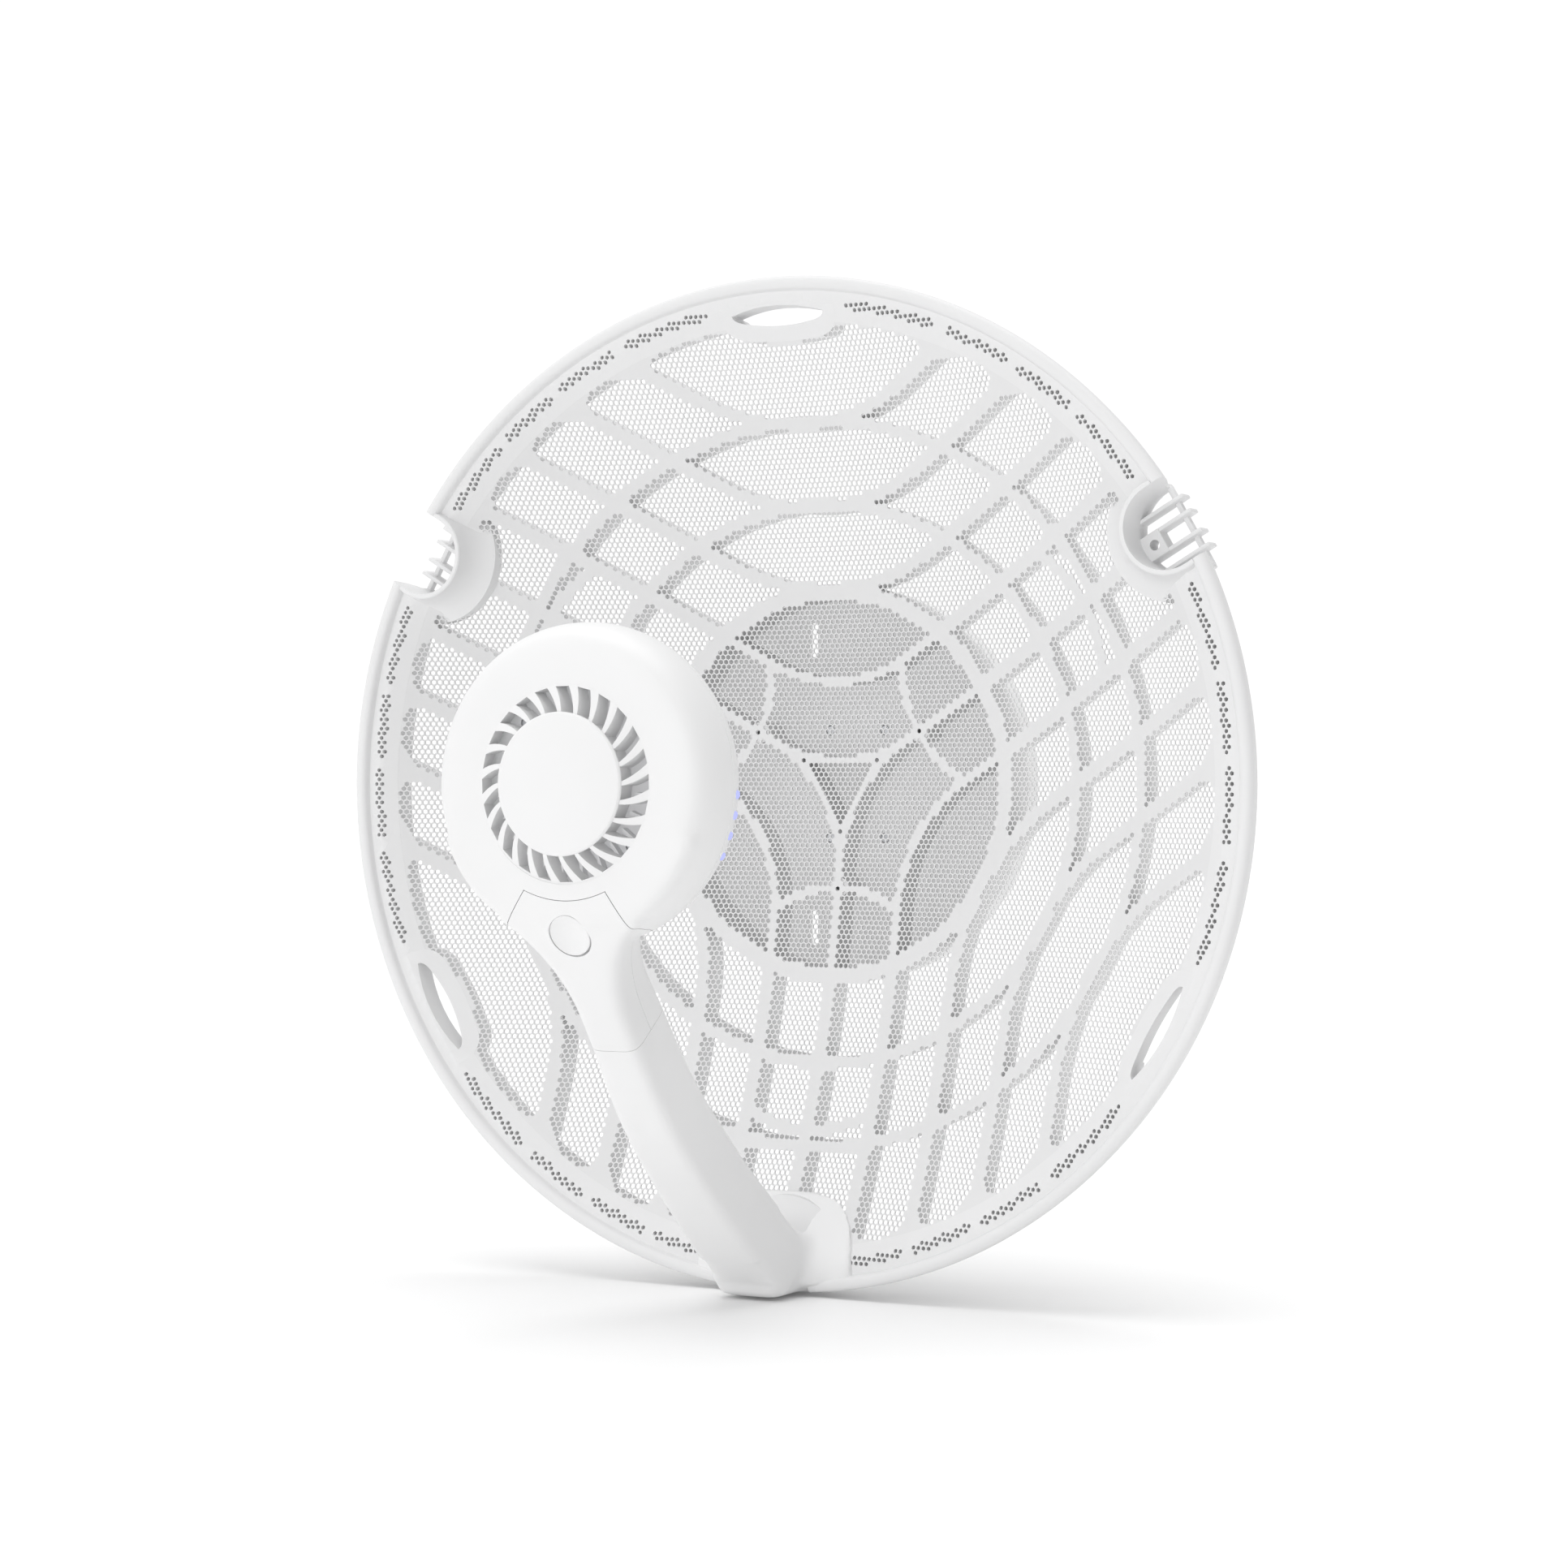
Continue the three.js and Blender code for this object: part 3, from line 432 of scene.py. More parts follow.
# %% [markdown]
# The reflecting sheet is punched all over with small holes on a triangular grid, 2.32 mm from hole to hole, which
# is less than half the wavelength that the radio works at. The plastic of the ribs has filled the holes that
# lie over it, so the ribs show on the front as smooth bands with ragged edges.
#
# A picture of holes on a plain sheet would be far lighter, but light must really pass through this one, so each
# hole is made: one hexagonal cell is copied into a row and the row into a field, the cells' shared edges are
# merged, every open cell is inset and loses its middle, and the field is dropped onto the paraboloid and given
# its thickness. The sheet is split in eight wedges to keep each piece small.

# %% Punched sheet
PITCH = 2.32
ROW = PITCH * COS30
HOLE_WALL = 0.24  # half the metal left between two holes
SHEET_EDGE = 190.6
WINDOW_EDGE = 188.4
CORNER_R = 9.0
SCREW_HOLE_R = 1.2
RAGGED = 0.35  # how far the plastic has crept past a rib's flank
SLOT_MARGIN, SOCKET_MARGIN = 6.5, 8.0
DOUBLINGS = 8
HALF_FIELD = 2**DOUBLINGS // 2
WEDGES = 8


def is_open(x, z):
    """Whether the hole at this place is open."""
    r = math.hypot(x, z)
    if any(math.hypot(x - sx, z - sz) < SCREW_HOLE_R for sx, sz in SCREW_SPOTS):
        return True
    slot = slot_distance(x, z) - SLOT_MARGIN
    if HUB_IN - 0.4 < r < HUB_OUT + 0.3 or slot < 0:
        return False
    rib = rib_distance(x, z) - RAGGED
    edge = min(WINDOW_EDGE - r, socket_distance(x, z) - SOCKET_MARGIN, slot)
    if rib < 0 or edge < 0:
        return False
    if rib < CORNER_R and edge < CORNER_R:
        return math.hypot(CORNER_R - rib, CORNER_R - edge) < CORNER_R
    return True


def repeated(bm, step, times):
    """Doubles everything in a bmesh along a step, again and again."""
    for i in range(times):
        twin = bmesh.ops.duplicate(bm, geom=bm.verts[:] + bm.edges[:] + bm.faces[:])["geom"]
        bmesh.ops.translate(bm, verts=verts_of(twin), vec=step * 2**i)


def cell_field():
    """Hexagonal cells that cover the dish, with their shared edges merged."""
    bm = bmesh.new()
    bmesh.ops.create_circle(bm, cap_ends=True, segments=6, radius=PITCH / math.sqrt(3))
    bmesh.ops.rotate(bm, verts=bm.verts[:], cent=(0, 0, 0), matrix=Matrix.Rotation(math.pi / 2, 3, "X"))
    repeated(bm, Vector((PITCH, 0, 0)), DOUBLINGS)
    bmesh.ops.translate(bm, verts=bm.verts[:], vec=(-PITCH * HALF_FIELD, 0, 0))
    far = [v for v in bm.verts if abs(v.co.x) > SHEET_EDGE + 2 * PITCH]
    bmesh.ops.delete(bm, geom=far, context="VERTS")
    repeated(bm, Vector((PITCH / 2, 0, ROW)), 1)
    repeated(bm, Vector((0, 0, 2 * ROW)), DOUBLINGS - 1)
    bmesh.ops.translate(bm, verts=bm.verts[:], vec=(0, 0, -ROW * HALF_FIELD))
    outside = [f for f in bm.faces if not is_sheet(f.calc_center_median())]
    bmesh.ops.delete(bm, geom=outside, context="FACES")
    bmesh.ops.remove_doubles(bm, verts=bm.verts[:], dist=0.01)
    return bm


def is_sheet(place):
    """Whether the sheet has a cell here: it stops at the rim, the slots and the sockets."""
    x, z = place.x, place.z
    return math.hypot(x, z) < SHEET_EDGE and slot_distance(x, z) > 4.5 and socket_distance(x, z) > 1.5


cells = cell_field()
openings = []
for f in cells.faces:
    centre = f.calc_center_median()
    f.material_index = int((math.atan2(centre.z, centre.x) / (2 * math.pi) % 1) * WEDGES)
    if is_open(centre.x, centre.z):
        openings.append(f)
print("cells:", len(cells.faces), "open holes:", len(openings))

# %% [markdown]
# Each open cell is inset and its middle taken out, which leaves the thin walls between the holes. The flat field
# then drops onto the dish's surface and gets its thickness, one wedge at a time.

# %% Open the holes and shape the sheet
bmesh.ops.inset_individual(cells, faces=openings, thickness=HOLE_WALL, use_even_offset=True)
bmesh.ops.delete(cells, geom=openings, context="FACES")
for v in cells.verts:
    v.co.y = dish_y(math.hypot(v.co.x, v.co.z))
for wedge in range(WEDGES):
    part = cells.copy()
    bmesh.ops.delete(part, geom=[f for f in part.faces if f.material_index != wedge], context="FACES")
    bmesh.ops.delete(part, geom=[v for v in part.verts if not v.link_faces], context="VERTS")
    grown = bmesh.ops.extrude_face_region(part, geom=part.faces[:])["geom"]
    bmesh.ops.translate(part, verts=verts_of(grown), vec=(0, SHEET_T, 0))
    bmesh.ops.recalc_face_normals(part, faces=part.faces[:])
    for f in part.faces:
        f.material_index = 0
    piece = work_object(part, f"sheet_wedge_{wedge + 1}")
    replaced = ["mesh_reflector"] if wedge == 0 else []
    become_piece(piece, "dish", sheet_paint, replaced)
cells.free()

# %% [markdown]
# The frame is one moulding: the rolled rim, the flange, the ribs, the finger slots and the sockets. The rim is a
# spun profile. Each rib is a rectangle with softened back corners that is carried along its U, always one sheet's
# thickness behind the dish's surface, and the rings are spun. All of them are then joined to one closed body.

# %% Rim and rings
RIM_PROFILE = [
    (188.9, dish_y(188.9) - 0.05), (191, dish_y(191) - 0.05), (193.5, dish_y(193.5) - 0.05), (196, -0.05),
    (199.9, -0.05), (200.6, -0.3), (200.9, -0.9), (201.0, -1.7), (201.3, -2.5), (201.9, -3.1), (202.9, -3.5),
    (204.2, -3.5), (205.3, -3.2), (206.1, -2.5), (206.5, -1.5), (206.5, -0.4), (206.2, 1.4), (205.2, 6.2),
    (203.2, 11.2), (202.5, 12.1), (201.4, 12.3), (200.2, 12.1), (199.6, 11.2), (199.3, 6.4), (198.6, 5.6),
    (195.6, 5.6), (193.4, 6.6), (192.9, 8.0), (192.4, 15.4), (191.8, 16.2), (190.3, 16.2), (189.6, 15.4),
]
HUB_RING_DEEP = 17
frame_body = spun(RIM_PROFILE, 288, "dish_moulding")


def ring_profile(inner, outer, deep=RIB_DEEP):
    """A ring-shaped rib's section: flat in front, along the dish's surface, with soft corners behind."""
    near = dish_y(inner) + SHEET_T - OVERLAP
    far = dish_y(outer) + SHEET_T - OVERLAP
    return [
        (inner, near), (outer, far), (outer, far + deep - RIB_SOFT),
        (outer - RIB_SOFT, far + deep), (inner + RIB_SOFT, near + deep), (inner, near + deep - RIB_SOFT),
    ]


for radius in RINGS:
    boolean(frame_body, spun(ring_profile(radius - RIB_HALF, radius + RIB_HALF), 180), "UNION")
boolean(frame_body, spun(ring_profile(HUB_IN, HUB_OUT, HUB_RING_DEEP), 180), "UNION")
print("rim and rings:", len(frame_body.data.polygons), "faces")

# %% [markdown]
# A U-shaped rib follows one leg inwards, goes round its bend and follows the other leg out to the rim.

# %% U-shaped ribs
RIB_END = 190.8
RIB_STEP = 6  # millimetres between two sections
SECTION = [
    (-1, 0.0), (1, 0.0), (1, RIB_DEEP - RIB_SOFT),
    (0.6, RIB_DEEP), (-0.6, RIB_DEEP), (-1, RIB_DEEP - RIB_SOFT),
]


def u_path(offset, bend):
    """Functions of a share from 0 to 1 along the rib: its place and its sideways direction."""
    cz = u_centre(offset, bend)
    start = Vector((bend / 2, cz - bend * COS30))
    way = Vector((COS30, 0.5))
    along = -start.dot(way) + math.sqrt(start.dot(way) ** 2 - start.length_squared + RIB_END**2)
    arc_length = bend * math.pi / 3
    total = 2 * along + arc_length

    def at(share):
        far = share * total - total / 2
        side = 1 if far >= 0 else -1
        far = abs(far)
        if far <= arc_length / 2:
            a = far / bend
            p = Vector((side * bend * math.sin(a), cz - bend * math.cos(a)))
            return p, Vector((-side * math.sin(a), math.cos(a)))
        p = start + way * (far - arc_length / 2)
        return Vector((side * p.x, p.y)), Vector((-side * 0.5, COS30))

    return at, total


def rib_point(at, share, corner):
    """One corner of the rib's section; ribs are thinner inside the hub's ring."""
    (x, z), normal = at(share)
    r = math.hypot(x, z)
    blend = min(max((r - HUB_IN) / (HUB_OUT - HUB_IN), 0), 1)
    half = HUB_RIB_HALF + (RIB_HALF - HUB_RIB_HALF) * blend
    side, deep = SECTION[corner]
    px, pz = x + normal.x * side * half, z + normal.y * side * half
    return Vector((px, dish_y(math.hypot(px, pz)) + SHEET_T - OVERLAP + deep, pz))


def u_rib(offset, bend, turn):
    """One U-shaped rib, turned to its third of the dish."""
    at, total = u_path(offset, bend)

    def place(share, corner):
        return rib_point(at, share, corner)

    return turned(swept(int(total / RIB_STEP), place, len(SECTION), "u_rib"), turn)


for turn in SLOT_TURNS:
    for offset, bend in U_RIBS:
        boolean(frame_body, u_rib(offset, bend, turn), "UNION")
print("frame with its ribs:", len(frame_body.data.polygons), "faces")

# %% [markdown]
# Two blocks of space shape everything that has to follow the dish: the air in front of the sheet and the air
# behind the ribs. Cutting a simple straight prism with them gives a wall that follows the bowl on both sides.

# %% Air in front of the dish and behind it
BOWL_RADII = [DISH_R * i / 28 for i in range(28, -1, -1)]


AIR_FRONT, AIR_BACK, AIR_R = -60, 140, 240


def air(far, shift):
    """The space between a plane at y = far and the dish's surface moved back by shift."""
    rim = [(0, far), (AIR_R, far), (AIR_R, shift), (DISH_R, shift)]
    return spun(rim + [(r, dish_y(r) + shift) for r in BOWL_RADII[1:]], 180, "air")


def follow_bowl(obj, front, back):
    """Cuts an object down to the layer between two distances behind the dish's surface."""
    boolean(obj, air(AIR_FRONT, front), "DIFFERENCE")
    return boolean(obj, air(AIR_BACK, back), "DIFFERENCE")


print("the bowl is followed in", len(BOWL_RADII) - 1, "steps")


# %% [markdown]
# A finger slot is a D-shaped hole with a rounded inner edge, in a solid surround that is as deep as the ribs.

# %% Finger slots
SURROUND, SURROUND_DEEP = 6, 9
for turn in SLOT_TURNS:
    block = plate(slot_outline(SURROUND), -10, 60, "slot_surround")
    surround = follow_bowl(block, -0.05, SHEET_T + SURROUND_DEEP)
    boolean(frame_body, turned(surround, turn), "UNION")
for turn in SLOT_TURNS:
    boolean(frame_body, turned(plate(slot_outline(0), -20, 80), turn), "DIFFERENCE")
print("frame with its slots:", len(frame_body.data.polygons), "faces")

# %% [markdown]
# A socket is a half-round cup that stands out of the dish as high as the rim's lip and flares into it. Behind its
# open end four fins and a small screw boss carry the foot of the arm. The cup is spun about its own centre.

# %% Sockets
CUP_FRONT = -3.3
CUP_WALL = 1.9
CUP_DEEP = 21
FLARE = [
    (NOTCH_R - 0.6, CUP_FRONT), (NOTCH_R + CUP_WALL - 0.5, CUP_FRONT),
    (NOTCH_R + CUP_WALL, CUP_FRONT + 0.4), (NOTCH_R + 2.3, -1.2), (NOTCH_R + 3.2, 1.6),
    (NOTCH_R + 4.8, 4.4), (NOTCH_R + 7.2, 6.8), (NOTCH_R + 10.0, 8.6), (NOTCH_R + 12.0, 9.6),
    (NOTCH_R + 12.0, 15.0), (NOTCH_R + 2.2, 15.0), (NOTCH_R + 2.2, 22.0), (NOTCH_R - 0.6, 22.0),
]
FINS = (-11.0, -4.4, 4.4, 11.0)


def box_between(low, high, soft=0.0, name="box"):
    """A block between two corners, its edges rounded if soft is more than nothing."""
    bm = bmesh.new()
    bmesh.ops.create_cube(bm, size=1)
    low, high = Vector(low), Vector(high)
    for v in bm.verts:
        v.co = Vector(tuple(a + (c + 0.5) * (b - a) for a, c, b in zip(low, v.co, high)))
    if soft:
        bmesh.ops.bevel(
            bm, geom=bm.edges[:], offset=soft, segments=3, profile=0.5, affect="EDGES", material=-1
        )
    return work_object(bm, name)


def rod(radius, y0, y1, x=0.0, z=0.0, steps=48):
    """A plain round cutter along the dish's axis."""
    made = spun([(0, y0), (radius, y0), (radius, y1), (0, y1)], steps, "rod")
    made.data.transform(Matrix.Translation((x, 0, z)))
    return made


def socket_cup():
    """The cup's wall with its flare, cut off along the bowl behind and at the rim."""
    cup = spun(FLARE, 96, "socket_cup")
    cup.data.transform(Matrix.Translation((0, 0, NOTCH_C)))
    boolean(cup, air(AIR_BACK, SHEET_T + CUP_DEEP), "DIFFERENCE")
    return boolean(cup, rod(LIP_R + 0.6, -40, 60, steps=180), "INTERSECT")


def socket_floor():
    """What stands behind the socket's open end: a screw boss, the fins and a bar across them."""
    floor = box_between((-5.2, 13.2, 178.4), (5.2, 22, 189.6), 0.5, "socket_floor")
    for x in FINS:
        boolean(floor, box_between((x - 0.8, 13.8, 180.5), (x + 0.8, 22, 204.6), 0.3), "UNION")
    boolean(floor, box_between((-NOTCH_R - 1, 17.4, 199.2), (NOTCH_R + 1, 20.4, 201.4), 0.4), "UNION")
    return boolean(floor, rod(2.1, 10, 30, 0, 185.4, 32), "DIFFERENCE")


for turn in SOCKET_TURNS:
    boolean(frame_body, turned(socket_cup(), turn), "UNION")
for turn in SOCKET_TURNS:
    boolean(frame_body, turned(plate(notch_outline(0, 48), -20, 60), turn), "DIFFERENCE")
for turn in SOCKET_TURNS:
    boolean(frame_body, turned(socket_floor(), turn), "UNION")
print("frame with its sockets:", len(frame_body.data.polygons), "faces")

# %% [markdown]
# Along the edge of the sheet one or two rows of holes were left open over a hollow in the flange, in short
# strips. They show as dark dots. Each is a small six-sided blind hole in the flange.

# %% Dark strips in the flange
STRIP_R, STRIP_HALF, DOT_DEEP = 195.8, 1.75, 4.4
STRIPS = [(9.3, 21.3), (23.0, 31.8), (33.4, 41.3), (42.9, 53.0)]  # in degrees from the slot's middle
DOT_R = 0.92
DOT_ROWS, DOT_COLUMNS = 100, 90


def on_strip(x, z):
    """Whether a hole at this place belongs to one of the strips, which mirror and repeat three times."""
    if abs(math.hypot(x, z) - STRIP_R) > STRIP_HALF:
        return False
    away = math.degrees(math.atan2(z, x)) - 90
    away = abs((away + 60) % 120 - 60)
    return any(low < away < high for low, high in STRIPS)


def strip_drill():
    """One cutter with a six-sided pin for every hole of the strips."""
    bm = bmesh.new()
    for row in range(-DOT_ROWS, DOT_ROWS + 1):
        z = row * ROW
        shift = PITCH / 2 * (row % 2)
        for column in range(-DOT_COLUMNS, DOT_COLUMNS + 1):
            x = column * PITCH + shift
            if on_strip(x, z):
                spot = Matrix.Translation((x, DOT_DEEP / 2 - 1, z)) @ Matrix.Rotation(math.pi / 2, 4, "X")
                bmesh.ops.create_cone(
                    bm, cap_ends=True, segments=6, radius1=DOT_R, radius2=DOT_R, depth=DOT_DEEP + 2,
                    matrix=spot,
                )
    print("holes in the strips:", len(bm.verts) // 12)
    return work_object(bm, "strip_drill")


boolean(frame_body, strip_drill(), "DIFFERENCE")

# %% [markdown]
# Three small bosses where ribs meet in the hub take the screws of the rear cover. With them the frame is whole.

# %% Screw bosses
BOSS_R, BOSS_HOLE_R = 4.4, 1.15
for x, z in SCREW_SPOTS:
    boss = follow_bowl(rod(BOSS_R, 30, 100, x, z), SHEET_T - OVERLAP, SHEET_T + RIB_DEEP)
    boolean(frame_body, boss, "UNION")
    boolean(frame_body, rod(BOSS_HOLE_R, 40, 120, x, z, 24), "DIFFERENCE")
become_piece(frame_body, "dish", frame_white, ["dish_frame"])

# %% [markdown]
# The head, its throat, the arm and the foot flow into one another with no edge between them. They could be
# modelled as one cage by hand, but the sections are simple: a spun head, a rounded box carried along the arm's
# line and a saddle that follows the bowl. They are joined, remeshed with small voxels and smoothed, which rounds
# every junction, and the smooth body is then cut into the four mouldings along their seams.

# %% The arm's line and its sections
ARM_LINE = [
    (-161.2, -20), (-161.2, -44), (-157, -57), (-143.5, -77.5), (-127.5, -100),
    (-101.5, -134), (-61.5, -171.5), (-19.0, -205.5),
]


def smooth_line(points, steps=24):
    """A curve through points of (y, z), as a list of finely spaced vectors."""
    pts = [Vector(p) for p in points]
    pts = [2 * pts[0] - pts[1]] + pts + [2 * pts[-1] - pts[-2]]
    line = []
    for p0, p1, p2, p3 in zip(pts, pts[1:], pts[2:], pts[3:]):
        for i in range(steps):
            t = i / steps
            second = (2 * p0 - 5 * p1 + 4 * p2 - p3) * t**2
            third = (3 * p1 - p0 - 3 * p2 + p3) * t**3
            line.append(0.5 * (2 * p1 + (p2 - p0) * t + second + third))
    return line + [pts[-2]]


arm_line = smooth_line(ARM_LINE)
FRONT_EDGE_R, BACK_EDGE_R = 4.4, 8
SECTION_STEPS = 5
HEAD_FRONT, HEAD_R, HEAD_SPLIT = -161.2, 59.8, -141.0
HEAD_MIDDLE, HEAD_REACH = -136.0, 26
HEAD_PROFILE = [
    (0, -161.2), (44, -161.2), (50, -161.0), (53.5, -160.2), (56.0, -158.4), (57.9, -155.4), (59.1, -151.6),
    (59.8, -147.4), (59.8, -142.0), (59.0, -137.6), (56.8, -132.0), (53.0, -126.0), (47.2, -119.6),
    (38.6, -113.4), (26.0, -109.0), (12.0, -107.2), (0, -107.0),
]
NECK_HALF, THROAT_FILLET = 10.6, 45.0
THROAT_X = NECK_HALF + THROAT_FILLET
THROAT_Z = -math.sqrt((HEAD_R + THROAT_FILLET) ** 2 - THROAT_X**2)


def between(x, pairs):
    """Reads a value from a short list of (x, value), straight between them."""
    for (x0, v0), (x1, v1) in zip(pairs, pairs[1:]):
        if x >= x1:
            return v0 + (v1 - v0) * (x - x0) / (x1 - x0)
    return pairs[-1][1]


def arm_half(z):
    """Half the arm's width, seen from the front, at some height."""
    if z > THROAT_Z:
        tangent = THROAT_Z * HEAD_R / (HEAD_R + THROAT_FILLET)
        if z > tangent:
            return math.sqrt(max((HEAD_R - 2) ** 2 - z * z, 1))
        return THROAT_X - math.sqrt(THROAT_FILLET**2 - (z - THROAT_Z) ** 2)
    return between(z, [(THROAT_Z, NECK_HALF), (-100, 10.6), (-134, 12.3), (-171.5, 14.0), (-206, 16.5)])


def arm_depth(z):
    """How far the arm reaches behind its line at some height."""
    return between(z, [(-20, 15), (-45, 20), (-70, 27), (-100, 30), (-206, 30)])


def section_of(half, deep, front_r, back_r, steps=SECTION_STEPS):
    """A rounded box as points of (across, behind the front), 4 * (steps + 1) of them."""
    front_r, back_r = min(front_r, half - 0.5), min(back_r, half - 0.5)
    quarter = math.pi / 2
    return (
        arc(-half + front_r, front_r, front_r, 2 * quarter, 3 * quarter, steps)
        + arc(half - front_r, front_r, front_r, 3 * quarter, 4 * quarter, steps)
        + arc(half - back_r, deep - back_r, back_r, 0, quarter, steps)
        + arc(-half + back_r, deep - back_r, back_r, quarter, 2 * quarter, steps)
    )


def arm_body(inset=0.0):
    """The rounded box carried along the arm's line."""
    last = len(arm_line) - 1

    def place(share, corner):
        i = min(int(round(share * last)), last)
        here = arm_line[i]
        ahead = (arm_line[min(i + 1, last)] - arm_line[max(i - 1, 0)]).normalized()
        back = Vector((-ahead.y, ahead.x))
        half, deep = arm_half(here.y) - inset, arm_depth(here.y) - 2 * inset
        across, behind = section_of(half, deep, FRONT_EDGE_R - inset, BACK_EDGE_R - inset)[corner]
        spot = here + back * (behind + inset)
        return Vector((across, spot.x, spot.y))

    return swept(last, place, 4 * (SECTION_STEPS + 1), "arm_body")


def head_body(inset=0.0):
    """The head's spun body, drawn in towards its middle by an inset."""
    squeeze = (HEAD_R - inset) / HEAD_R
    flatten = 1 - inset / HEAD_REACH
    profile = [(r * squeeze, HEAD_MIDDLE + (y - HEAD_MIDDLE) * flatten) for r, y in HEAD_PROFILE]
    return spun(profile, 120, "head_body")


print("throat leaves the head at z", round(THROAT_Z * HEAD_R / (HEAD_R + THROAT_FILLET), 1))

# %% [markdown]
# The saddle under the arm's foot is a rounded pad that hugs the bowl. It rises towards the arm in a hollow curve,
# so the remeshed body gets a wide soft fillet there.

# %% The foot's saddle
SADDLE = [(-36, -203), (-36, -196), (-33.4, -184), (-27.5, -173.5), (-18, -168), (0, -166.6)]
SADDLE_GAP = 0.3
SADDLE_TIP = (11.0, -188.0)  # half width and height of the small outline that it shrinks to
SKIRT = [  # (height over the dish, share by which the outline has shrunk)
    (0.0, 0.0), (2.0, 0.02), (2.3, 0.25), (2.8, 0.45), (4.0, 0.62), (7.0, 0.78), (13.0, 0.9), (24.0, 0.97),
]


def saddle_outline(shrink, steps=6):
    """The saddle's outline, shrunk towards the arm by a share."""
    left = smooth_line(SADDLE, steps)
    points = left + [Vector((-p.x, p.y)) for p in reversed(left[:-1])]
    tip_x, tip_z = SADDLE_TIP
    xs = [p.x * (1 - shrink) + math.copysign(min(abs(p.x), tip_x), p.x) * shrink for p in points]
    zs = [p.y * (1 - shrink) + min(p.y, tip_z) * shrink for p in points]
    return list(zip(xs, zs))


def saddle_body():
    """The saddle as a stack of outlines that shrink as they rise from the dish."""
    outlines = [saddle_outline(shrink) for _, shrink in SKIRT]
    count = len(outlines[0])

    def place(share, corner):
        layer = round(share * (len(SKIRT) - 1))
        x, z = outlines[layer][corner]
        return Vector((x, dish_y(math.hypot(x, z)) - SADDLE_GAP - SKIRT[layer][0], z))

    return swept(len(SKIRT) - 1, place, count, "saddle_body")


def foot_body():
    """The toe that wraps the rim under the arm, and the plug in the socket."""
    toe = box_between((-15.5, -25, -206.4), (15.5, 2.5, -188), 5.5, "toe")
    boolean(toe, turned(plate(notch_outline(-0.4, 32), -3.0, 12.6), math.pi), "UNION")
    return boolean(toe, rod(RIM_R - 0.2, -60, 60, steps=180), "INTERSECT")


body = head_body()
for part in (arm_body(), saddle_body(), foot_body()):
    boolean(body, part, "UNION")
print("joined body:", len(body.data.polygons), "faces")

# %% [markdown]
# Remeshing turns the joined body into an even skin of small quads, and a few rounds of smoothing round its
# junctions. The flat face of the head stays flat, because smoothing leaves a flat surface alone.

# %% Remesh and smooth
VOXEL = 0.9
ROUNDS, VALLEY_ROUNDS = 14, 90


def in_valley(v):
    """Whether a vertex is in the hollow between the saddle and the arm's foot."""
    over = dish_y(v.co.xz.length) - v.co.y
    return -199 < v.co.z < -169 and abs(v.co.x) < 31 and 1.4 < over < 42


def smooth(bm, verts, rounds):
    """Draws vertices towards their neighbours, again and again."""
    for _ in range(rounds):
        bmesh.ops.smooth_vert(bm, verts=verts, factor=0.5, use_axis_x=True, use_axis_y=True, use_axis_z=True)


remesh = body.modifiers.new("skin", "REMESH")
remesh.mode = "VOXEL"
remesh.voxel_size = VOXEL
remesh.use_smooth_shade = True
bake_modifiers(body)
bm = bmesh.new()
bm.from_mesh(body.data)
smooth(bm, bm.verts[:], ROUNDS)
smooth(bm, [v for v in bm.verts if in_valley(v)], VALLEY_ROUNDS)
bm.to_mesh(body.data)
bm.free()
print("smooth body:", len(body.data.polygons), "faces")

# %% [markdown]
# The four mouldings are cut from the body along the seams of the real one. The lid under the head, which covers
# the network port, has an arched top edge and two slanted side edges; the head splits into a front and a rear
# shell; and the arm begins at a straight seam across the neck. Each moulding is hollow: a smaller body of the
# same make is taken out of it.

# %% Cutters for the seams
SEAM = 0.11  # half the width of a seam
SEAM_Z = -100.0
LID_R, LID_HALF, LID_DEEP = 42.7, 17.4, 13.0
LID_FLARE, LID_DROP, LID_END = 34, 50, -140  # the slanted side edges, and a level well below the lid
NECK_SPLIT_Z = -53.6


def line_at(z):
    """The point on the arm's line at some height, and the line's direction there."""
    i = min(range(1, len(arm_line) - 1), key=lambda k: abs(arm_line[k].y - z))
    return arm_line[i], (arm_line[i + 1] - arm_line[i - 1]).normalized()


def side_plate(outline, half, name="side_plate"):
    """Pushes an outline of (y, z) sideways from -half to half."""
    return pushed([(-half, y, z) for y, z in outline], (2 * half, 0, 0), name)


def below_seam(shift):
    """All space beyond the seam across the neck."""
    here, ahead = line_at(SEAM_Z)
    back = Vector((-ahead.y, ahead.x))
    near = here + ahead * shift
    front, behind, along = back * 60, back * 90, ahead * 260
    corners = [near - front, near + behind, near + behind + along, near - front + along]
    return side_plate(corners, 80, "below_seam")


def lid_region(margin):
    """The space that the lid takes up, grown by a margin."""
    r, half = LID_R - margin, LID_HALF + margin
    top = -math.sqrt(r * r - half * half)
    side = math.atan2(top, half)
    wide, low = half + LID_FLARE, top - LID_DROP
    arch = arc(0, 0, r, -math.pi - side, side, 24)
    outline = arch + [(wide, low), (wide, LID_END), (-wide, LID_END), (-wide, low)]
    region = plate(outline, -190, -60, "lid_region")
    steps = [p for p in arm_line if -150 < p.y <= -20]
    pairs = [(p, (q - p).normalized()) for p, q in zip(steps, steps[1:])]
    front = [p - Vector((-a.y, a.x)) * 20 for p, a in pairs]
    back = [p + Vector((-a.y, a.x)) * (LID_DEEP + margin) for p, a in pairs]
    return boolean(region, side_plate(front + back[::-1], 80), "INTERSECT")


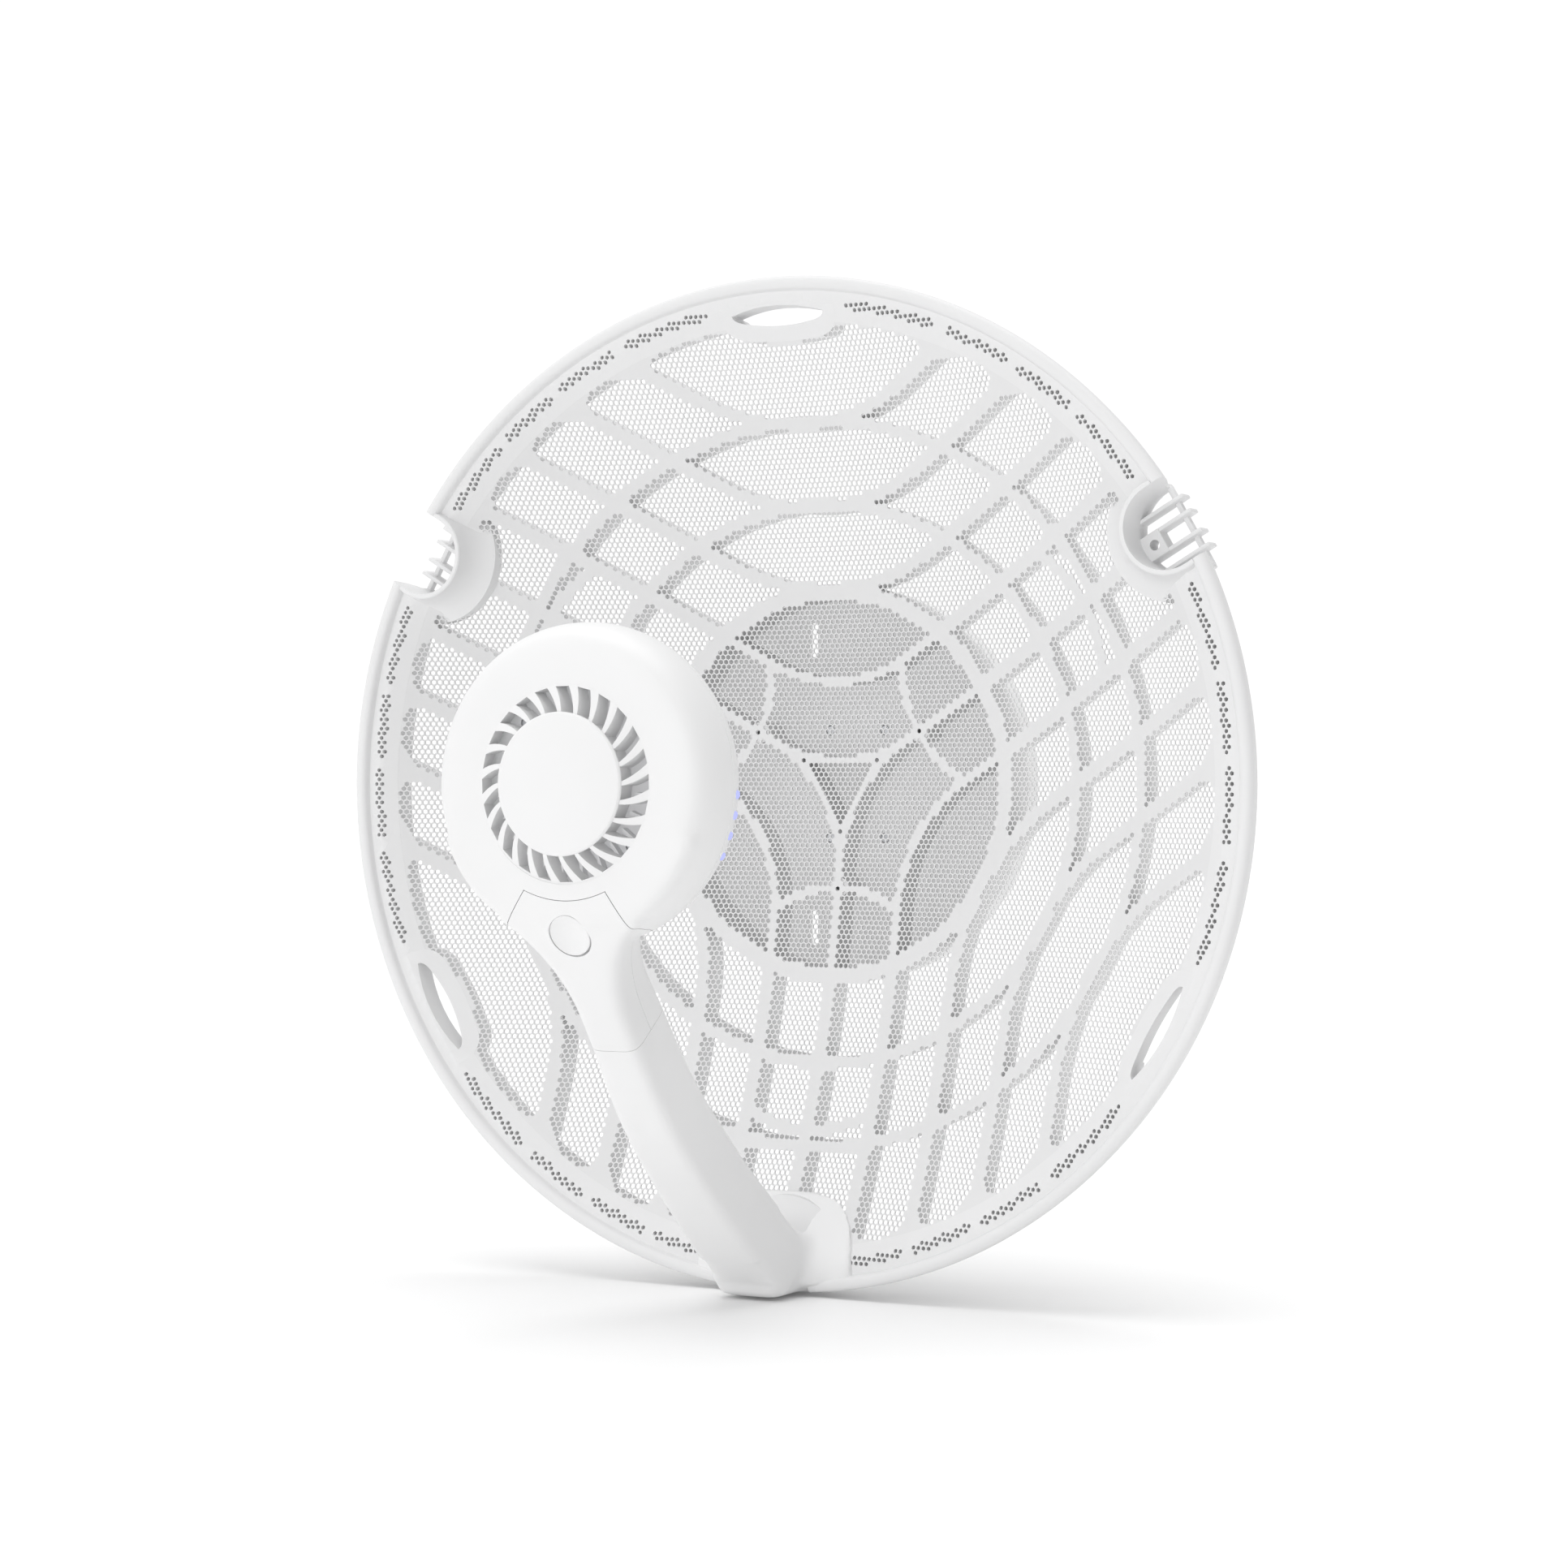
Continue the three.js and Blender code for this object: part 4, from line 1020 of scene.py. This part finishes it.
def packed(node, name):
    """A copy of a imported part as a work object, its flat-shaded corners merged."""
    bm = bmesh.new()
    bm.from_mesh(frame["nodes"][node].data)
    bm.transform(TO_MODEL.inverted() @ frame["nodes"][node].matrix_world)
    bmesh.ops.remove_doubles(bm, verts=bm.verts[:], dist=1e-3)
    return work_object(bm, name)


def front_region(margin):
    """The space that the head's front shell takes up, grown by a margin."""
    return box_between((-90, -210, NECK_SPLIT_Z - margin), (90, HEAD_SPLIT + margin, 100), 0, "front_region")


print("the lid's seam meets the arm at", [round(v, 1) for v in line_at(SEAM_Z)[0]])

# %% [markdown]
# The hollow is made with the same helpers and an inset of the wall's thickness.

# %% Hollow and mouldings
WALL = 2.2
hollow = boolean(head_body(WALL), arm_body(WALL), "UNION")
hollow.name = "hollow"

front_shell = boolean(copied(body, "front_shell"), front_region(-SEAM), "INTERSECT")
boolean(front_shell, lid_region(SEAM), "DIFFERENCE")
boolean(front_shell, hollow, "DIFFERENCE", keep_tool=True)

rear_shell = copied(body, "rear_shell")
for tool in (front_region(SEAM), lid_region(SEAM), below_seam(-SEAM)):
    boolean(rear_shell, tool, "DIFFERENCE")
boolean(rear_shell, hollow, "DIFFERENCE", keep_tool=True)

lid = boolean(copied(body, "port_lid"), lid_region(-SEAM), "INTERSECT")
boolean(lid, below_seam(-SEAM), "DIFFERENCE")
boolean(lid, hollow, "DIFFERENCE", keep_tool=True)

arm = boolean(copied(body, "arm_moulding"), below_seam(SEAM), "INTERSECT")
low_arm = box_between((-80, -80, -260), (80, 60, -196), 0, "low_arm")
arm_hollow = boolean(copied(hollow, "arm_hollow"), low_arm, "DIFFERENCE")
boolean(arm, arm_hollow, "DIFFERENCE")
board = boolean(packed("port_board", "port_board_cut"), hollow, "INTERSECT", keep_tool=True)
bpy.data.objects.remove(hollow)
bpy.data.objects.remove(body)
print("shells:", [len(o.data.polygons) for o in (front_shell, rear_shell, lid, arm)])

# %% [markdown]
# The vent is a ring of 24 slots that lean like the vanes of a turbine, around a plain round cap. The slots keep
# their width, so the vanes between them widen outwards. The vanes rise from the head's face to the cap, which
# stands a few millimetres proud.

# %% Vent
VENT_R, CAP_R, VANES = 36.7, 26.4, 24
LEAN = math.radians(9)
VENT_BACK = HEAD_FRONT + 6.2
VENT_RISE = 3.2
CAP_FRONT = -165.9
VENT_PROFILE = [
    (CAP_R - 2.6, VENT_BACK), (VENT_R - 0.01, VENT_BACK), (VENT_R - 0.01, HEAD_FRONT),
    (VENT_R - 1.0, HEAD_FRONT - 0.02), (CAP_R + 3, HEAD_FRONT - VENT_RISE * 0.72),
    (CAP_R - 0.2, HEAD_FRONT - VENT_RISE), (CAP_R - 2.6, HEAD_FRONT - VENT_RISE),
]
CAP_PROFILE = [
    (0, CAP_FRONT), (24.9, CAP_FRONT), (25.7, CAP_FRONT + 0.15), (26.2, CAP_FRONT + 0.55),
    (26.4, CAP_FRONT + 1.1), (26.3, CAP_FRONT + 1.5), (25.9, CAP_FRONT + 1.7), (23.2, CAP_FRONT + 1.7),
    (23.2, CAP_FRONT + 8.2), (0, CAP_FRONT + 8.2),
]


def vent_slot():
    """One slot between two vanes, as a cutter with slightly curved flanks."""
    steps = 8
    left, right = [], []
    for i in range(steps + 1):
        share = i / steps
        r = CAP_R - 1.2 + (VENT_R - CAP_R + 0.4) * share
        lean = LEAN * share**1.25
        half = (2.6 + 0.2 * share) / r
        left.append((r * math.cos(lean - half), r * math.sin(lean - half)))
        right.append((r * math.cos(lean + half), r * math.sin(lean + half)))
    return plate(left + right[::-1], -180, -140, "vent_slot")


boolean(front_shell, rod(VENT_R, -175, -150, steps=120), "DIFFERENCE")
vent = spun(VENT_PROFILE, 144, "vent_ring_moulding")
for i in range(VANES):
    boolean(vent, turned(vent_slot(), 2 * math.pi * (i + 0.5) / VANES), "DIFFERENCE")
cap = spun(CAP_PROFILE, 144, "vent_cap_disc")
print("vent with its slots:", len(vent.data.polygons), "faces")

# %% [markdown]
# Four small lights shine through the side of the rear shell. Each hole is drilled square to the dome.

# %% Light holes
LIGHT_HOLE_R = 1.75
DRILL_NEAR, DRILL_FAR = 50, 70
for i in range(4):
    low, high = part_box(f"light_pipe_{i + 1}")
    middle = (low + high) / 2 / MM + Vector((0, SEAT_Y, 0))
    angle = math.atan2(middle.z, middle.x)
    drill = rod(LIGHT_HOLE_R, DRILL_NEAR, DRILL_FAR, steps=24)
    drill.data.transform(Matrix.Rotation(math.pi / 2, 4, "Z"))
    drill.data.transform(Matrix.Translation((DRILL_NEAR + DRILL_FAR, middle.y, 0)))
    boolean(rear_shell, turned(drill, angle), "DIFFERENCE")
    print("light hole", i + 1, "at", round(math.degrees(angle), 1), "degrees")

# %% [markdown]
# The lid opens when its round button is pressed. The button is a shallow dish with a thin gap round it that
# widens at the lower edge, where the thumb pushes it in.

# %% Button
BUTTON_Z, BUTTON_R = -56.0, 8.3
WELL_R, WELL_DOWN, WELL_RIGHT = 8.75, 0.32, 0.18
button_spot, button_way = line_at(BUTTON_Z)
button_back = Vector((-button_way.y, button_way.x))
ON_FRONT = Matrix((
    (1, 0, 0, 0),
    (0, button_back.x, -button_way.x, button_spot.x),
    (0, button_back.y, -button_way.y, button_spot.y),
    (0, 0, 0, 1),
))


def on_front(obj, down=0.0, across=0.0):
    """Sets a piece drawn round the Y axis square onto the arm's front at the button."""
    obj.data.transform(Matrix.Translation((across, 0, -down)))
    obj.data.transform(ON_FRONT)
    return obj


boolean(lid, on_front(rod(WELL_R, -12, 4.2, steps=96), WELL_DOWN, WELL_RIGHT), "DIFFERENCE")
seat = [(WELL_R, 1.6), (WELL_R + 1.6, 1.6), (WELL_R + 1.6, 6.2), (3.9, 6.2), (3.9, 4.7), (WELL_R, 4.7)]
boolean(lid, on_front(spun(seat, 96), WELL_DOWN, WELL_RIGHT), "UNION")
BUTTON_TOP = [
    (0, 2.3), (2.5, 2.1), (4.8, 1.55), (6.6, 0.85), (7.6, 0.32), (8.05, 0.1), (BUTTON_R, 0.3),
    (BUTTON_R, 2.6), (3.1, 2.6), (3.1, 9.5), (0, 9.5),
]
button = on_front(spun(BUTTON_TOP, 96, "lid_button"))
print("button stands at", [round(v, 1) for v in button_spot])

# %% [markdown]
# The lid rides on its own hinge and the button in the lid; all the other mouldings move with the dish.

# %% Hand over the head and arm
SHARP = 28
MOULDINGS = [
    (front_shell, "dish", "head_front_shell"),
    (rear_shell, "dish", "head_rear_shell"),
    (arm, "dish", "arm"),
    (lid, "cover", "port_cover"),
    (button, "button", "cover_button"),
    (vent, "dish", "vent_ring"),
    (cap, "dish", "vent_cap"),
]
for moulding, rides_on, node in MOULDINGS:
    become_piece(moulding, rides_on, shell_white, [node], SHARP)
become_piece(board, "dish", solder_mask, ["port_board"])

# %% [markdown]
# The rear cover closes the hub. It is a shallow grey plate with a rounded edge and two slots right through
# it, which show as bright marks through the sheet.

# %% Rear cover
COVER_PROFILE = [
    (0, COVER_FRONT), (79.6, COVER_FRONT), (79.6, 66), (83.2, 66), (83.4, 66.3), (83.4, COVER_BACK - 2.4),
    (82.9, COVER_BACK - 1.1), (81.8, COVER_BACK - 0.3), (80.4, COVER_BACK), (0, COVER_BACK),
]
CUT_FROM, CUT_TO = 60, 90
COVER_SLOT_X, COVER_SLOT_Z, COVER_SLOT_HALF = (-23.8, -19.0), 62, 7.4
YOKE_X, YOKE_Z = 13, 23
cover = spun(COVER_PROFILE, 180, "rear_cover_plate")
for z in (-COVER_SLOT_Z, COVER_SLOT_Z):
    low = (COVER_SLOT_X[0], CUT_FROM, z - COVER_SLOT_HALF)
    high = (COVER_SLOT_X[1], CUT_TO, z + COVER_SLOT_HALF)
    boolean(cover, box_between(low, high, 0.9), "DIFFERENCE")
for x in (-YOKE_X, YOKE_X):
    for z in (-YOKE_Z, YOKE_Z):
        boolean(cover, rod(2.2, CUT_FROM, CUT_TO, x, z, 32), "DIFFERENCE")
for x, z in SCREW_SPOTS:
    boolean(cover, rod(2.3, CUT_FROM, CUT_TO, x, z, 32), "DIFFERENCE")
become_piece(cover, "dish", cover_grey, ["hub_rear_cover"])
# The three screws that hold the cover are dark steel. Their darkness is partly painted shade, which makes their
# ends in the bosses' holes read as dark dots through the sheet.
HUB_SCREW = [
    (0, 57.2), (1.3, 57.2), (1.55, 57.5), (1.55, COVER_BACK + 0.3), (4, COVER_BACK + 0.3),
    (4, COVER_BACK + 1.6), (3.3, COVER_BACK + 2.5), (2.0, COVER_BACK + 2.8), (0, COVER_BACK + 2.8),
]
for i in range(3):
    hub_screw = spun(HUB_SCREW, 48, f"hub_screw_{i + 1}_turned")
    hub_screw.data.transform(Matrix.Translation((0, 0, -SCREW_PCR)))
    become_piece(turned(hub_screw, THIRD * i), "dish", screw_steel_painted_shade, [f"hub_screw_{i + 1}"])

# %% [markdown]
# The bracket and the yoke are bent metal and the network jack is metal too, so their edges are not knife-sharp.
# Each is a copy of the imported part with a narrow bevel on its sharp edges.

# %% Softened metal parts
def softened(node, body, material, width):
    """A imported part's copy with its sharp edges bevelled."""
    obj = packed(node, f"{node}_softened")
    bm = bmesh.new()
    bm.from_mesh(obj.data)
    bmesh.ops.dissolve_limit(bm, angle_limit=math.radians(1), verts=bm.verts[:], edges=bm.edges[:])
    sharp = [e for e in bm.edges if len(e.link_faces) == 2 and e.calc_face_angle(0) > math.radians(35)]
    bmesh.ops.bevel(
        bm, geom=sharp, offset=width, offset_type="OFFSET", affect="EDGES", segments=2, profile=0.5,
        material=-1, clamp_overlap=True,
    )
    bm.to_mesh(obj.data)
    bm.free()
    return become_piece(obj, body, material, [node])


softened("pole_bracket", "pole_mount", bracket_coat, 0.4)
softened("tilt_yoke", "dish", bracket_coat, 0.4)
softened("ethernet_jack", "dish", bright_metal, 0.15)

# %% [markdown]
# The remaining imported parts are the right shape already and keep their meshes. Each gets a finish of its kind.

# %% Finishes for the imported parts
zinc = finish("zinc plated steel", (0.62, 0.63, 0.65), 0.35, grain=0.2, grain_size=0.5, metallic=1.0)
cast_metal = finish("cast aluminium", (0.85, 0.85, 0.86), 0.6, grain=0.4, grain_size=0.6)
black_rubber = finish("black rubber", (0.03, 0.03, 0.032), 0.7, grain=0.3)
black_nylon = finish("black nylon", (0.05, 0.05, 0.053), 0.45, grain=0.2)
soft_pad = finish("thermal pad", (0.30, 0.33, 0.37), 0.8, grain=0.3)
light = finish("lit pipe", (0.03, 0.03, 0.06), 0.4, grain=0.0, glow=(0.45, 0.49, 1.0))
KEPT = [
    (zinc, ("foot_screw", "board_screw_", "yoke_screw_", "tilt_bolt", "tilt_nut", "washer_", "button_spring")),
    (cast_metal, ("heat_sink",)),
    (bright_metal, ("rf_module", "feed_horn")),
    (black_rubber, ("head_gasket", "cable_grommet")),
    (black_nylon, ("pivot_bush",)),
    (solder_mask, ("main_board",)),
    (soft_pad, ("thermal_pad",)),
    (light, ("light_pipe_",)),
]
for material, starts in KEPT:
    for name, node in frame["nodes"].items():
        if name.startswith(starts):
            node.data.materials.clear()
            node.data.materials.append(material)
print("finishes:", len(bpy.data.materials))

# %% [markdown]
# The floor is a wide pale sheet just under the foot. The light is a bright even room and two soft suns:
# one above, and a fill light at the front left that casts no shadow. The faces that look right are a little
# darker. The room is white where it is seen.

# %% Floor and light
FLOOR_GAP = 0.0012
FLOOR_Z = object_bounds()[0][2] - FLOOR_GAP
ROOM_LIGHT, BACKDROP_LIGHT = 0.62, 1.05
bm = bmesh.new()
bmesh.ops.create_grid(bm, x_segments=2, y_segments=2, size=30)
bmesh.ops.translate(bm, verts=bm.verts[:], vec=(0, 0, FLOOR_Z))
floor = work_object(bm, "floor")
floor_paint = bpy.data.materials.new("floor paint")
floor_paint.use_nodes = True
floor_shader = floor_paint.node_tree.nodes["Principled BSDF"]
floor_shader.inputs["Base Color"].default_value = (0.93, 0.93, 0.93, 1)
floor_shader.inputs["Roughness"].default_value = 0.9
floor_shader.inputs["Specular IOR Level"].default_value = 0.0
floor.data.materials.append(floor_paint)


def sun(name, towards, strength, softness):
    """Soft, even light from one direction."""
    data = bpy.data.lights.new(name, "SUN")
    data.energy = strength
    data.angle = math.radians(softness)
    obj = bpy.data.objects.new(name, data)
    scene.collection.objects.link(obj)
    obj.rotation_euler = Vector(towards).to_track_quat("Z", "Y").to_euler()
    return obj


sun("top light", (-0.06, 0.04, 1.0), 1.58, 58)
sun("fill light", (-0.45, -0.85, 0.25), 0.8, 60).data.use_shadow = False
world = bpy.data.worlds.new("room")
world.use_nodes = True
room = world.node_tree
wire = room.links.new
soft = room.nodes["Background"]
soft.inputs["Strength"].default_value = ROOM_LIGHT
backdrop = room.nodes.new("ShaderNodeBackground")
for light_source in (soft, backdrop):
    light_source.inputs["Color"].default_value = (1, 1, 1, 1)
backdrop.inputs["Strength"].default_value = BACKDROP_LIGHT
sight = room.nodes.new("ShaderNodeLightPath")
chosen = room.nodes.new("ShaderNodeMixShader")
wire(sight.outputs["Is Camera Ray"], chosen.inputs["Fac"])
wire(soft.outputs["Background"], chosen.inputs[1])
wire(backdrop.outputs["Background"], chosen.inputs[2])
wire(chosen.outputs["Shader"], room.nodes["World Output"].inputs["Surface"])
scene.world = world
scene.view_settings.view_transform = "Standard"
print("floor at", round(FLOOR_Z, 4), "m")
